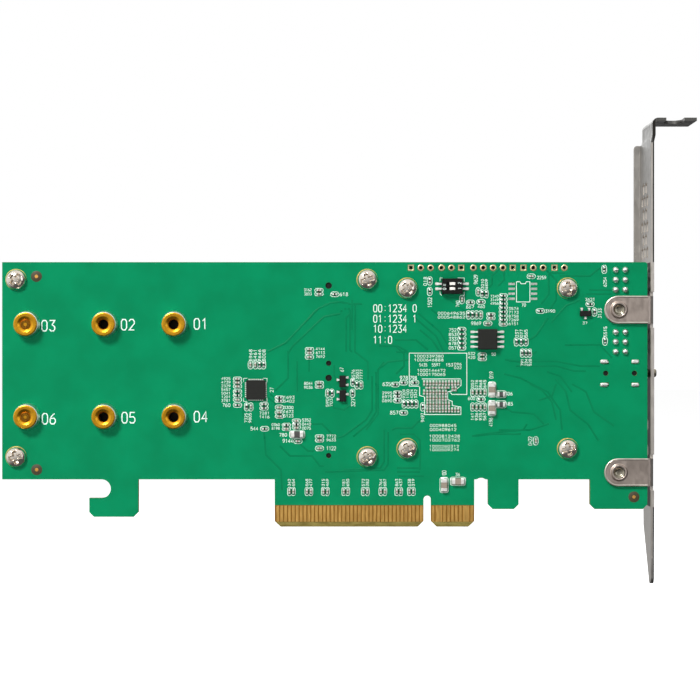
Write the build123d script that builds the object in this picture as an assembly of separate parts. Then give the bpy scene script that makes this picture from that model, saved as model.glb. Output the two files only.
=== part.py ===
from build123d import *
import math
import os

# Storage controller card: an edge-connected board with two drive sockets, heatsinks and a folded bracket.
# Millimetres. X runs along the board to the bracket, Z runs up from the contacts.
# The solder side faces -Y.
# The origin is the middle of the key notch on the lower end of the contacts, halfway through the board.

# Board outline
board_length = 166.3
board_height = 68.25
layout_height = 68.25
board_thickness = 1.57
board_end_x = 56.75
main_edge_z = 12.25
key_notch_width = 1.9
key_notch_depth = 8.05
long_tongue_width = 38.35
short_tongue_width = 11.18
tongue_chamfer = 1.5
bevel_height = 1.35
bevel_depth = 0.49
side_slot_width = 3.52
side_slot_rise = 0.4
board_corner_radius = 0.7
leg_width = 7.9
leg_bottom_z = 4.6
leg_chamfer = 1.2
end_leg_width = 14.8
hook_toe_x = -87.1
hook_width = 12.65
hook_bottom_z = 2.6
hook_slot_height = 4.8
hook_slot_end_x = -81.55

# Contacts, holes and solder pins
contact_pitch = 1.0
contact_width = 0.7
contact_length = 4.15
contact_thickness = 0.05
long_contact_count = 38
short_contact_count = 11
first_contact_offset = 1.5
header_hole_radius = 0.45
header_z = 66.8
header_pitch = 2.54
header_starts_x = (-4.2, 3.7, 11.9, 24.8, 32.8)
header_counts = (3, 3, 5, 3, 2)
lead_hole_radius = 0.45
screw_hole_clearance = 0.15

# Screws and nuts
screw_head_radius = 2.65
screw_head_height = 1.9
screw_shank_radius = 1.45
screw_engagement = 3.0
screw_rim_height = 0.85
screw_crown_radius = 1.6
recess_length = 3.0
recess_width = 0.75
recess_depth = 1.1
recess_draft = 9
bracket_screw_proud = 0.1
nut_radius = 3.05
nut_height = 2.6
nut_barrel_radius = 2.1
nut_bore_radius = 1.25
nut_chamfer = 0.3
post_radius = 2.75
post_height = 2.45
post_bore_radius = 0.8
seat_clearance = 0.02

# Drive sockets: two rows of module seats across the board
socket_rows_z = (52.2, 28.4)
nut_columns_x = (-103.2, -83.2, -65.2)
layout_bay_length = 84.15
socket_peg_x = -25.4
socket_peg_spacing = 20.0
socket_peg_radii = (0.8, 0.65)
socket_peg_length = 1.2
socket_length = 21.9
socket_depth = 8.7
socket_height = 4.1
socket_slot_height = 1.0
socket_slot_depth = 4.5
socket_slot_floor = 2.1
socket_peg_setback = 2.2
socket_contact_pitch = 0.5
socket_contact_width = 0.22
socket_contact_count = 40
socket_tail_reach = 0.8
socket_tail_thickness = 0.2
key_post_offset = -6.2
key_post_width = 1.2

# Drive heatsink
drive_sink_x = (-108.9, -12.3)
drive_sink_z = (14.8, 66.7)
drive_screw_span_x = 90.5
drive_screw_span_z = 45.7
drive_screw_centre = (-60.65, 40.85)
screw_end_margin = 3.65
boss_clearance = 0.25
boss_wall = 0.6
drive_sink_standoff = 5.5
drive_sink_base = 1.6
drive_fin_height = 5.6
drive_fin_count = 14
boss_radius = 2.4

# Chip heatsink
chip_screw_span = 41.35
chip_screw_centre = (15.55, 40.8)
chip_sink_margin = 2.9
chip_sink_standoff = 3.4
chip_sink_base = 2.2
chip_fin_height = 7.4
chip_fin_count = 13
fin_thickness = 0.9

# Controller chip under the chip heatsink
chip_centre = (3.7, 33.6)
chip_size = 15.0
chip_cap_size = 13.2
chip_substrate = 0.7
chip_height = 1.5
chip_ball_standoff = 0.35
chip_ball_radius = 0.28
chip_ball_pitch = 1.27
chip_ball_inset = 0.8
thermal_pad_thickness = 0.5
pad_size = 12.5

# Bracket sheet
sheet = 0.86
bracket_face_x = 58.35
bracket_width = 18.42
bracket_top_z = 105.4
ear_reach = 11.0
ear_depth = 12.0
upper_width = 15.8
ear_notch_width = 4.6
ear_notch_depth = 6.2
ear_notch_centre_x = 63.8
upper_joggle = 0.4
upper_joggle_z = (99.2, 101.0)
lower_joggle = 0.05
lower_joggle_z = (-5.2, -3.6)
bracket_tip_z = -14.65
tongue_width = 11.6
tongue_top_z = 6.4
tongue_taper_z = -0.4
tip_radius = 1.7
bend_radius = 0.7
lip_reach = 2.4
lip_z = (8.0, 100.1)
lip_corner_radius = 0.8
tab_height = 7.2
tab_length = 12.8
tab_rows_z = (55.95, 14.1)
relief_width = 1.0
relief_depth = 1.6
collar_radius = 1.95
collar_height = 0.55
collar_x = 49.3
collar_bore_radius = 1.5
vent_size = 3.0
vent_pitch = 3.9
vent_fields_z = (71.0, 19.5)
vent_rows_per_field = (6, 4)
vent_first_depth = 5.6
vents_per_row = 3

# Status lamps
lamp_pitch = 2.54
lamp_columns_x = (48.5, 51.0)
lamp_stacks_z = (63.7, 47.7)
lamps_per_stack = 3
lamp_radius = 0.85
lamp_height = 3.2
lamp_hole_clearance = 0.1
lamp_holder_x = (47.0, 54.6)
lamp_holder_height = 5.0
lead_width = 0.5
lead_stub = 0.9

# Push button
button_z = 39.62
button_x = (45.9, 53.5)
button_width = 6.0
button_height = 5.4
button_axis_height = 2.9
plunger_radius = 1.1
plunger_neck_radius = 1.35
plunger_clearance = 0.12
plunger_proud = 1.4
plunger_travel = 0.4
collar_hole_clearance = 0.35
button_frame_sheet = 0.3
button_tab_length = 1.7
button_peg_radius = 0.65
button_peg_inset = 0.1

# Option switch with two sliders
switch_centre = (6.4, 62.0)
switch_length = 5.45
switch_width = 4.1
switch_height = 1.7
switch_lead_pitch = 1.27
slider_length = 1.4
slider_width = 0.72
slider_proud = 0.25
slider_travel = 0.7
slider_clearance = 0.06
slider_pocket_depth = 0.9
switch_lead_reach = 1.5
switch_draft = 3

# Moulded packages on the solder side: centre, then length, width and height of the body
flash_centre = (15.5, 48.35)
flash_body = (5.1, 5.3, 1.75)
flash_lead_pitch = 1.27
flash_lead_reach = 1.7
flash_leads_per_side = 4
interface_centre = (-44.15, 35.35)
interface_body = (5.0, 5.0, 0.85)
interface_pad_pitch = 0.5
interface_pads_per_side = 8
interface_pad = (0.28, 0.22)
interface_pad_reach = 0.3
transistor_body = (1.7, 3.0, 1.0)
transistor_pair_x = -21.8
transistor_pair_z = (37.5, 33.8)
transistor_lead_sides = ((-1, 1, 1), (-1, -1, 1))
transistor_lead_offsets = ((0.4, 1.0, -0.9), (1.0, -0.9, 0.4))
flat_transistor_centre = (40.75, 55.0)
flat_transistor_body = (2.9, 1.5, 1.0)
flat_transistor_lead_sides = (1, 1, -1)
flat_transistor_lead_offsets = (-0.95, 0.95, 0.0)
transistor_lead_reach = 0.65
lead_sheet = 0.2
lead_width_small = 0.42
lead_shoulder = 0.5
package_draft = 5
package_standoff = 0.06

# Parts on the component face beside the controller: centres and bodies
power_stage_x = (18.8, 23.5, 29.0)
power_stage_z = (56.5, 49.5)
inductor_body = (4.2, 4.2, 2.0)
regulator_body = (3.0, 3.0, 0.9)
input_capacitor_body = (3.2, 1.6, 1.2)
input_capacitor_spread = 0.95
crystal_centre = (16.5, 33.6)
crystal_base = (3.2, 2.5, 0.5)
crystal_lid = (2.8, 2.1, 0.75)

# Small chips: length, width and height of each body
chip_0402 = (1.0, 0.5, 0.35)
cap_0402 = (1.0, 0.5, 0.5)
cap_1206 = (3.2, 1.6, 1.1)
bead_1206 = (3.2, 1.6, 1.1)
bead_0805 = (2.0, 1.25, 0.9)
decoupling_pitch = 0.8
chip_standoff = 0.04

# Places of the small chips. Flat ones lie along X and are given as X, then their heights.
# Upright ones are given as a height, then their X places.
resistors_flat = (
    (-48.9, (34.9, 33.9, 31.4)),
    (-42.05, (31.6, 30.6)),
    (-41.9, (25.3,)),
    (-38.1, (33.35, 32.5)),
    (-36.3, (26.25,)),
    (-33.7, (26.4,)),
    (-23.85, (59.95,)),
    (11.15, (57.85,)),
    (13.85, (58.0, 32.9)),
    (16.4, (54.75,)),
    (8.9, (50.87, 49.69, 48.51, 47.33, 46.15)),
    (19.6, (59.59, 58.55, 57.51, 56.47, 55.43, 54.39, 53.35)),
    (29.15, (55.65,)),
    (41.95, (57.4,)),
    (-8.25, (36.7,)),
    (-6.1, (37.2, 29.45)),
    (-3.25, (37.2,)),
    (-7.65, (34.6, 33.7, 32.55)),
)
resistors_upright = (
    (41.8, (-43.2, -42.15)),
    (30.95, (-46.55, -1.15)),
    (37.3, (-19.2,)),
    (36.6, (-18.15,)),
    (34.45, (-24.55, -19.25)),
    (63.4, (0.65,)),
    (60.7, (0.65,)),
    (60.1, (14.2, 15.2)),
    (54.65, (10.6, 11.65)),
    (47.7, (23.0, 24.2, 25.4)),
    (44.8, (24.5, 25.45, 26.4)),
    (55.4, (43.1,)),
    (31.7, (-5.95, -4.93, -3.91, -2.89)),
)
edge_resistor = (45.6, 66.4)
capacitors_flat = (
    (-48.9, (38.15, 37.2, 36.25, 32.8)),
    (-38.1, (30.8, 29.5, 28.5)),
    (-36.3, (25.3,)),
    (-33.7, (27.35, 25.6)),
    (-33.35, (22.1,)),
    (-30.35, (45.8, 44.9, 43.8)),
    (-27.9, (61.0, 60.05)),
    (-27.8, (37.1, 36.2)),
    (-27.75, (23.3, 22.35, 20.25)),
    (16.4, (53.85,)),
    (15.6, (52.45,)),
    (14.2, (44.35, 43.35)),
    (19.6, (52.3,)),
)
capacitors_upright = (
    (41.8, (-45.55, -44.3)),
    (36.6, (-17.1,)),
    (34.45, (-25.65,)),
    (30.95, (-45.45,)),
    (54.65, (12.7, 13.75)),
    (58.6, (8.95,)),
    (60.6, (13.1,)),
    (34.7, (11.7, 12.72, 13.74, 14.76)),
    (30.9, (11.7, 12.72, 13.74, 14.76)),
    (22.2, (27.95,)),
)
edge_capacitor = (26.8, 64.6)
contact_capacitor_z = 9.15
contact_capacitor_pairs_x = (-35.0, -30.5, -26.25, -21.0, -15.95, -11.45, -7.35, -4.1)
contact_capacitor_spacing = 1.0
decoupling_first_x = -0.8
decoupling_rows_z = (37.05, 34.7, 33.15, 31.6, 30.1)
decoupling_row_offsets = (0.0, 0.0, 0.8, 0.8, 0.8)
decoupling_row_counts = (12, 8, 7, 8, 11)
decoupling_flat_x = (0.25, 1.85, 3.45, 5.05)
decoupling_flat_z = 35.88
decoupling_pair_x = (6.5, 7.3)
decoupling_pair_z = 35.6
bulk_upright = (16.7, (35.4, 30.6))
bulk_contact_upright = (4.35, 10.8)
bulk_contact_flat = (7.9, 11.75)
bead_large = (-33.5, 23.85)
bead_small = (19.0, (34.2, 31.6))

solder_face = -board_thickness / 2
part_face = board_thickness / 2
half_notch = key_notch_width / 2

# A taller or lower board moves its parts with its middle, and what sits at the top edge moves with that edge.
field_rise = (board_height - layout_height) / 2
edge_rise = board_height - layout_height
socket_heights = tuple(z + field_rise for z in socket_rows_z)

# A longer or shorter board stretches the drive bays between the sockets and its far end.
bay_stretch = (socket_peg_x - board_end_x + board_length) / layout_bay_length
nut_columns = tuple(socket_peg_x + (x - socket_peg_x) * bay_stretch for x in nut_columns_x)

# The drive heatsink's screws stay clear of the sockets on one side and of the chip heatsink on the other.
socket_back_x = socket_peg_x + socket_peg_setback + socket_depth / 2
chip_sink_half = chip_screw_span / 2 + chip_sink_margin
boss_land = boss_radius + boss_wall
drive_span_x = drive_screw_span_x * bay_stretch
drive_middle_x = socket_peg_x + (drive_screw_centre[0] - socket_peg_x) * bay_stretch
screw_right_low = socket_back_x + socket_tail_reach + boss_radius + boss_clearance
screw_right_high = chip_screw_centre[0] - chip_sink_half - boss_wall - boss_land
screw_right_x = min(max(drive_middle_x + drive_span_x / 2, screw_right_low), screw_right_high)
screw_left_x = screw_right_x - drive_span_x
board_left_x = min(board_end_x - board_length, screw_left_x - screw_end_margin)
drive_sink_end_x = socket_peg_x + (drive_sink_x[0] - socket_peg_x) * bay_stretch
drive_sink_left_x = min(drive_sink_end_x, screw_left_x - boss_land)
drive_sink_right_x = max(drive_sink_x[1], screw_right_x + boss_land)
drive_screws = [
    (x, drive_screw_centre[1] + field_rise + side * drive_screw_span_z / 2)
    for x in (screw_left_x, screw_right_x)
    for side in (-1, 1)
]
chip_sink_centre = (chip_screw_centre[0], chip_screw_centre[1] + field_rise)
chip_screws = [
    (chip_sink_centre[0] + sx * chip_screw_span / 2, chip_sink_centre[1] + sz * chip_screw_span / 2)
    for sx in (-1, 1)
    for sz in (-1, 1)
]
nut_places = [(x, z) for z in socket_heights for x in reversed(nut_columns)]
post_places = [(nut_columns[0], z) for z in socket_heights]
controller_place = (chip_centre[0], chip_centre[1] + field_rise)
bracket_near_y = solder_face - sheet
bracket_far_y = bracket_near_y + bracket_width
bracket_inner_x = bracket_face_x - sheet
lamp_rows_z = [z + k * lamp_pitch for z in lamp_stacks_z for k in (-1, 0, 1)]
lamp_y = part_face + lamp_height
button_y = part_face + button_axis_height
plunger_tip_x = bracket_face_x + plunger_proud

parts = {}


def slab(x, y, z):
    """Box between three (low, high) pairs."""
    centre = ((x[0] + x[1]) / 2, (y[0] + y[1]) / 2, (z[0] + z[1]) / 2)
    return Pos(*centre) * Box(x[1] - x[0], y[1] - y[0], z[1] - z[0])


def facing(y):
    """Plane parallel to the board at depth y, with its normal towards the solder side."""
    return Plane(origin=(0, y, 0), x_dir=(1, 0, 0), z_dir=(0, -1, 0))


def raise_from(sketch, y_back, y_front, taper=0.0):
    """Extrude a sketch drawn in (X, Z) from y_back to y_front; a taper narrows it on the way."""
    if y_front < y_back:
        return extrude(facing(y_back) * sketch, amount=y_back - y_front, taper=taper)
    flipped = Plane(origin=(0, y_back, 0), x_dir=(1, 0, 0), z_dir=(0, 1, 0))
    return extrude(flipped * mirror(sketch, about=Plane.XZ), amount=y_front - y_back, taper=taper)


def rod(x, z, radius, y_back, y_front):
    """Round bar across the board's thickness direction."""
    length = abs(y_front - y_back)
    return Pos(x, (y_back + y_front) / 2, z) * Rot(90, 0, 0) * Cylinder(radius, length)


def bar_x(y, z, radius, x_low, x_high):
    """Round bar along the board's length."""
    return Pos((x_low + x_high) / 2, y, z) * Rot(0, 90, 0) * Cylinder(radius, x_high - x_low)


def group(solids):
    """Separate solids of one kind held in one node."""
    flat = [solid for item in solids for solid in item.solids()]
    return Compound(children=flat) if len(flat) > 1 else flat[0]


def rectangle(x0, x1, z0, z1):
    """Filled rectangle in (X, Z)."""
    return Pos((x0 + x1) / 2, (z0 + z1) / 2) * Rectangle(x1 - x0, z1 - z0)


def chamfered_tab(x0, x1, z0, z1, cut):
    """Rectangle in (X, Z) whose two lower corners are cut at 45 degrees."""
    points = [(x0, z1), (x1, z1), (x1, z0 + cut), (x1 - cut, z0), (x0 + cut, z0), (x0, z0 + cut)]
    return make_face(Polyline(*points, close=True))


def board_outline():
    """Outline of the board with its contact tongues, legs, side slot and retention hook."""
    overlap = 1.0
    shape = rectangle(board_left_x, board_end_x, main_edge_z, board_height)
    root = main_edge_z + overlap
    long_left = -half_notch - long_tongue_width
    short_right = half_notch + short_tongue_width
    leg_left = short_right + side_slot_width
    shape += chamfered_tab(long_left, -half_notch, 0, root, tongue_chamfer)
    shape += chamfered_tab(half_notch, short_right, 0, root, tongue_chamfer)
    notch_centre_z = key_notch_depth - half_notch
    shape += rectangle(-half_notch - overlap, half_notch + overlap, notch_centre_z, root)
    shape += chamfered_tab(leg_left, leg_left + leg_width, leg_bottom_z, root, leg_chamfer)
    shape += chamfered_tab(board_end_x - end_leg_width, board_end_x, leg_bottom_z, root, leg_chamfer)
    shape += chamfered_tab(hook_toe_x, hook_toe_x + hook_width, hook_bottom_z, root, leg_chamfer)
    slot_radius = hook_slot_height / 2
    slot_middle_z = main_edge_z - slot_radius
    slot_centre_x = hook_slot_end_x - slot_radius
    shape -= rectangle(hook_toe_x - overlap, slot_centre_x, slot_middle_z - slot_radius, main_edge_z)
    shape -= Pos(slot_centre_x, slot_middle_z) * Circle(slot_radius)
    shape -= Pos(0, notch_centre_z) * Circle(half_notch)
    slot_middle_x = (short_right + leg_left) / 2
    slot_top_z = main_edge_z + side_slot_rise
    shape -= Pos(slot_middle_x, slot_top_z - side_slot_width / 2) * Circle(side_slot_width / 2)
    corner = shape.vertices().sort_by(lambda v: v.X + v.Y)[-1]
    return fillet(corner, board_corner_radius)


def board_holes():
    """Every round or square hole through the board."""
    holes = []
    for x, z in drive_screws + chip_screws:
        holes.append(Pos(x, z) * Circle(screw_shank_radius + screw_hole_clearance))
    for z in tab_rows_z:
        holes.append(Pos(collar_x, z) * Circle(collar_bore_radius + screw_hole_clearance))
    for x, z in nut_places:
        holes.append(Pos(x, z) * Circle(nut_barrel_radius))
    for first, count in zip(header_starts_x, header_counts):
        for k in range(count):
            holes.append(Pos(first + k * header_pitch, header_z + edge_rise) * Circle(header_hole_radius))
    for row in socket_heights:
        for side, radius in zip((1, -1), socket_peg_radii):
            z = row + side * socket_peg_spacing / 2
            holes.append(Pos(socket_peg_x, z) * Circle(radius + seat_clearance))
    for z in lamp_rows_z:
        for x in lamp_columns_x:
            holes.append(Pos(x, z) * Rectangle(2 * lead_hole_radius, 2 * lead_hole_radius))
    for x, z in button_tab_places():
        holes.append(Pos(x, z) * Rectangle(button_tab_length, 2 * lead_hole_radius))
    for x in button_peg_places():
        holes.append(Pos(x, button_z) * Circle(button_peg_radius + seat_clearance))
    return holes


def button_tab_places():
    """Centres of the four frame tabs of the push button in (X, Z)."""
    ends = (button_x[0], button_x[1])
    reach = button_width / 2 - button_frame_sheet / 2
    return [(x, button_z + side * reach) for x in ends for side in (-1, 1)]


def button_peg_places():
    """X of the two pegs that locate the push button on the board."""
    return [button_x[0] + button_peg_inset, button_x[1] - button_peg_inset]


def circuit_board():
    """The board: outline, holes and the bevel on both faces of the contact tongues."""
    blank = raise_from(board_outline() - board_holes(), part_face, solder_face)
    for side in (-1, 1):
        face = side * part_face
        section = [(face, bevel_height), (face, -1.0), (face - side * bevel_depth, -1.0)]
        section.append((face - side * bevel_depth, 0.0))
        wedge = make_face(Plane.YZ * Polyline(*section, close=True))
        start = -half_notch - long_tongue_width - 1.0
        end = half_notch + short_tongue_width + 1.0
        blank -= extrude(Plane.YZ.offset(start) * Plane.YZ.to_local_coords(wedge), amount=end - start)
    return blank


def edge_contacts(face, side):
    """Plated contacts on one face: an evenly spaced row on each tongue."""
    centres = [-first_contact_offset - k * contact_pitch for k in range(long_contact_count)]
    centres += [first_contact_offset + k * contact_pitch for k in range(short_contact_count)]
    outer = face + side * contact_thickness
    depth = (min(face, outer), max(face, outer))
    height = (bevel_height, bevel_height + contact_length)
    half = contact_width / 2
    return group(slab((x - half, x + half), depth, height) for x in centres)


def screw(x, z, head_side, head_face, length):
    """Cross-recess screw whose head stands on head_face; head_side is -1 on the solder side."""
    section = [(0, -length), (screw_shank_radius, -length), (screw_shank_radius, 0), (screw_head_radius, 0)]
    section += [(screw_head_radius, screw_rim_height), (screw_crown_radius, screw_head_height)]
    section += [(0, screw_head_height)]
    body = revolve(make_face(Plane.XZ * Polyline(*section, close=True)), Axis.Z)
    for turn in (0, 90):
        arm = Plane.XY.offset(screw_head_height) * Rectangle(recess_length, recess_width)
        body -= Rot(0, 0, turn) * extrude(arm, amount=-recess_depth, taper=recess_draft)
    angle = 90 if head_side < 0 else -90
    return Pos(x, head_face, z) * Rot(angle, 0, 0) * Rot(0, 0, 45) * body


def drive_nut(x, z):
    """Round brass nut soldered to the solder face, with a barrel through the board."""
    outer = rod(x, z, nut_radius, solder_face, solder_face - nut_height)
    outer = chamfer(outer.edges().sort_by(Axis.Y)[0], nut_chamfer)
    barrel = rod(x, z, nut_barrel_radius - seat_clearance, part_face, solder_face)
    return outer + barrel - rod(x, z, nut_bore_radius, part_face + 1, solder_face - nut_height - 1)


def drive_post(x, z):
    """Round post on the component face whose stud fills the nut; a module screw goes in its top."""
    head = rod(x, z, post_radius, part_face, part_face + post_height)
    head = chamfer(head.edges().sort_by(Axis.Y)[-1], nut_chamfer)
    stud_end = solder_face - nut_height + nut_chamfer
    stud = rod(x, z, nut_bore_radius - seat_clearance, part_face, stud_end)
    return head + stud - rod(x, z, post_bore_radius, part_face + post_height + 1, part_face)


def drive_socket(row_z, key_side):
    """Edge socket for a drive module: a C-shaped body open towards -X, a key web and two board pegs."""
    back = socket_back_x
    front = back - socket_depth
    floor = part_face + 0.1
    top = part_face + socket_height
    slot_low = part_face + socket_slot_floor
    slot_high = slot_low + socket_slot_height
    mouth = front + socket_slot_depth
    step = front + 0.9
    section = [(front, floor), (back, floor), (back, top - 0.5), (back - 0.5, top), (step, top)]
    section += [(step, slot_high), (mouth, slot_high), (mouth, slot_low), (front, slot_low)]
    profile = make_face(Polyline(*section, close=True))
    low = row_z - socket_length / 2
    body = extrude(Plane.XY.offset(low) * profile, amount=socket_length)
    key_z = row_z + key_side * key_post_offset
    key_width = (key_z - key_post_width / 2, key_z + key_post_width / 2)
    body += slab((step, mouth), (slot_low, slot_high), key_width)
    for side, radius in zip((1, -1), socket_peg_radii):
        z = row_z + side * socket_peg_spacing / 2
        body += rod(socket_peg_x, z, radius, part_face - socket_peg_length, floor)
    return body


def socket_contacts(row_z):
    """Solder tails along the front and back of one socket, resting on the component face."""
    back = socket_back_x
    tails = []
    for k in range(socket_contact_count):
        z = row_z + (k - (socket_contact_count - 1) / 2) * socket_contact_pitch
        width = (z - socket_contact_width / 2, z + socket_contact_width / 2)
        height = (part_face, part_face + socket_tail_thickness)
        tails.append(slab((back, back + socket_tail_reach), height, width))
    return group(tails)


def finned_sink(x, z, standoff, base, fin_height, fin_count, screws, pedestal=None):
    """Extruded heatsink: plate on four tapped bosses, with straight fins along X."""
    low = part_face + standoff
    top = low + base
    body = slab(x, (low, top), z)
    pitch = (z[1] - z[0] - fin_thickness) / (fin_count - 1)
    for k in range(fin_count):
        start = z[0] + k * pitch
        body += slab(x, (top, top + fin_height), (start, start + fin_thickness))
    if pedestal:
        body += pedestal
    for sx, sz in screws:
        body += rod(sx, sz, boss_radius, part_face, low)
        bore = screw_shank_radius + seat_clearance
        body -= rod(sx, sz, bore, part_face, part_face + screw_engagement + 0.4)
    return body


def chip_pedestal():
    """Raised pad under the chip heatsink that reaches down to the thermal pad."""
    low = part_face + chip_height + thermal_pad_thickness
    x, z = controller_place
    half = pad_size / 2
    high = part_face + chip_sink_standoff
    return slab((x - half, x + half), (low, high), (z - half, z + half))


def controller_chip():
    """Ball-grid package: substrate, moulded cap and solder balls on the component face."""
    x, z = controller_place
    low = part_face + chip_ball_standoff
    half = chip_size / 2
    package = slab((x - half, x + half), (low, low + chip_substrate), (z - half, z + half))
    cap = Pos(x, z) * Rectangle(chip_cap_size, chip_cap_size)
    package += raise_from(cap, low + chip_substrate, part_face + chip_height, taper=8)
    count = math.floor((half - chip_ball_inset) / chip_ball_pitch)
    reach = count * chip_ball_pitch
    ball = RegularPolygon(chip_ball_radius, 6)
    rim = [k * chip_ball_pitch for k in range(-count, count + 1, 3)]
    places = [(side * reach, k) for side in (-1, 1) for k in rim]
    places += [(k, side * reach) for side in (-1, 1) for k in rim[1:-1]]
    balls = Sketch() + [Pos(x + dx, z + dz) * ball for dx, dz in places]
    return package + raise_from(balls, part_face, low)


def bracket_sheet():
    """Side profile of the bracket in (X, Z): ear, upper joggle, plate, lower joggle and tip."""
    top_face = bracket_face_x + upper_joggle
    foot_face = bracket_face_x - lower_joggle
    ear_end = bracket_face_x + ear_reach
    outer = [
        (ear_end, bracket_top_z - sheet),
        (top_face, bracket_top_z - sheet),
        (top_face, upper_joggle_z[1]),
        (bracket_face_x, upper_joggle_z[0]),
        (bracket_face_x, lower_joggle_z[1]),
        (foot_face, lower_joggle_z[0]),
        (foot_face, bracket_tip_z),
    ]
    inner = [
        (foot_face - sheet, bracket_tip_z),
        (foot_face - sheet, lower_joggle_z[0]),
        (bracket_inner_x, lower_joggle_z[1]),
        (bracket_inner_x, upper_joggle_z[0]),
        (top_face - sheet, upper_joggle_z[1]),
        (top_face - sheet, bracket_top_z),
        (ear_end, bracket_top_z),
    ]
    profile = make_face(Polyline(*outer, *inner, close=True))
    under_ear = bracket_top_z - sheet
    inner_bend = [v for v in profile.vertices() if abs(v.Y - under_ear) < 0.01 and v.X < top_face + 0.01]
    profile = fillet(inner_bend, bend_radius)
    outer_bend = [v for v in profile.vertices() if abs(v.Y - bracket_top_z) < 0.01 and v.X < top_face]
    return fillet(outer_bend, bend_radius + sheet)


def bracket_face_outline():
    """Front outline of the bracket in (Y, Z): full width, then a narrow tongue tapering to its tip."""
    tongue_far = bracket_near_y + tongue_width
    tip_centre = (bracket_near_y + tip_radius, bracket_tip_z + tip_radius)
    points = [
        (bracket_near_y, tip_centre[1]),
        (bracket_near_y, bracket_top_z),
        (bracket_near_y + upper_width, bracket_top_z),
        (bracket_near_y + upper_width, lip_z[1]),
        (bracket_far_y, lip_z[1]),
        (bracket_far_y, tongue_top_z + (bracket_width - tongue_width)),
        (tongue_far, tongue_top_z),
        (tongue_far, tongue_taper_z),
        (tip_centre[0] + tip_radius, tip_centre[1]),
    ]
    shape = make_face(Polyline(*points, close=True))
    return shape + Pos(*tip_centre) * Circle(tip_radius)


def bracket_vents():
    """Staggered six-sided vents as (depth, height) centres, clear of the lamps and the button."""
    centres = []
    row_pitch = vent_pitch * math.sin(math.radians(60))
    for first, rows in zip(vent_fields_z, vent_rows_per_field):
        for row in range(rows):
            shift = vent_pitch / 2 if row % 2 else 0.0
            for column in range(vents_per_row - row % 2):
                depth = bracket_near_y + vent_first_depth + shift + column * vent_pitch
                centres.append((depth, first + row * row_pitch))
    return centres


def mounting_bracket():
    """Folded sheet bracket: ear, joggles, stiffening lip, two fixing tabs and its openings."""
    depth = Plane(origin=(0, bracket_near_y, 0), x_dir=(1, 0, 0), z_dir=(0, -1, 0))
    folded = extrude(depth * bracket_sheet(), amount=-bracket_width)
    outline = extrude(Plane.YZ.offset(bracket_inner_x - 2) * bracket_face_outline(), amount=ear_reach + 6)
    bracket = folded & outline
    lip_x = (bracket_face_x - lip_reach, bracket_inner_x + upper_joggle)
    lip_low = max(lip_z[0], tongue_top_z + bracket_width - tongue_width + 1.0)
    lip = slab(lip_x, (bracket_far_y - sheet, bracket_far_y), (lip_low, lip_z[1]))
    lip_corners = lip.edges().filter_by(Axis.Y).sort_by(Axis.X)[:2]
    bracket += fillet(lip_corners, lip_corner_radius)
    for z in tab_rows_z:
        bracket = add_tab(bracket, z)
    ear_x = (bracket_face_x + upper_joggle + bend_radius, bracket_face_x + ear_reach + 1)
    ear_z = (bracket_top_z - sheet - 1, bracket_top_z + 1)
    bracket -= slab(ear_x, (bracket_near_y + ear_depth, bracket_far_y + 1), ear_z)
    notch_end = bracket_near_y + ear_notch_depth - ear_notch_width / 2
    half = ear_notch_width / 2
    through = (bracket_top_z - 3, bracket_top_z + 3)
    notch_x = (ear_notch_centre_x - half, ear_notch_centre_x + half)
    bracket -= slab(notch_x, (bracket_near_y - 1, notch_end), through)
    bracket -= Pos(ear_notch_centre_x, notch_end, bracket_top_z) * Cylinder(half, 6)
    vent = RegularPolygon(vent_size / 2, 6, major_radius=False, rotation=30)
    vents = Sketch() + [Pos(y, z) * vent for y, z in bracket_vents()]
    bracket -= extrude(Plane.YZ.offset(bracket_inner_x - 1) * vents, amount=sheet + 2)
    cuts = []
    for z in lamp_rows_z:
        radius = lamp_radius + lamp_hole_clearance
        cuts.append(bar_x(lamp_y, z, radius, bracket_inner_x - 1, bracket_face_x + 1))
    radius = plunger_radius + collar_hole_clearance
    cuts.append(bar_x(button_y, button_z, radius, bracket_inner_x - 1, bracket_face_x + 1))
    return bracket - cuts


def add_tab(bracket, z):
    """Bend one fixing tab from the near edge onto the solder face, with relief cuts and a threaded collar."""
    half = tab_height / 2
    for side in (-1, 1):
        low = z + side * half + (0 if side > 0 else -relief_width)
        cut_y = (bracket_near_y - 0.1, bracket_near_y + relief_depth)
        bracket -= slab((bracket_inner_x - 1, bracket_face_x + 1), cut_y, (low, low + relief_width))
    corner = slab(
        (bracket_inner_x - 0.1, bracket_face_x + 0.1),
        (bracket_near_y - 0.1, solder_face + bend_radius),
        (z - half, z + half),
    )
    bracket -= corner
    centre = (bracket_inner_x - bend_radius, solder_face + bend_radius)
    bend = Circle(bend_radius + sheet) - Circle(bend_radius)
    quarter = bend & (Pos(2, -2) * Rectangle(4, 4))
    bracket += extrude(Plane.XY.offset(z - half) * Pos(*centre) * quarter, amount=tab_height)
    end_x = bracket_face_x - tab_length
    flat = rectangle(end_x + half, centre[0], z - half, z + half) + Pos(end_x + half, z) * Circle(half)
    bracket += raise_from(flat, solder_face, bracket_near_y)
    bracket += rod(collar_x, z, collar_radius, bracket_near_y, bracket_near_y - collar_height)
    return bracket - rod(collar_x, z, collar_bore_radius, solder_face + 0.1, bracket_near_y - 1)


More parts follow.
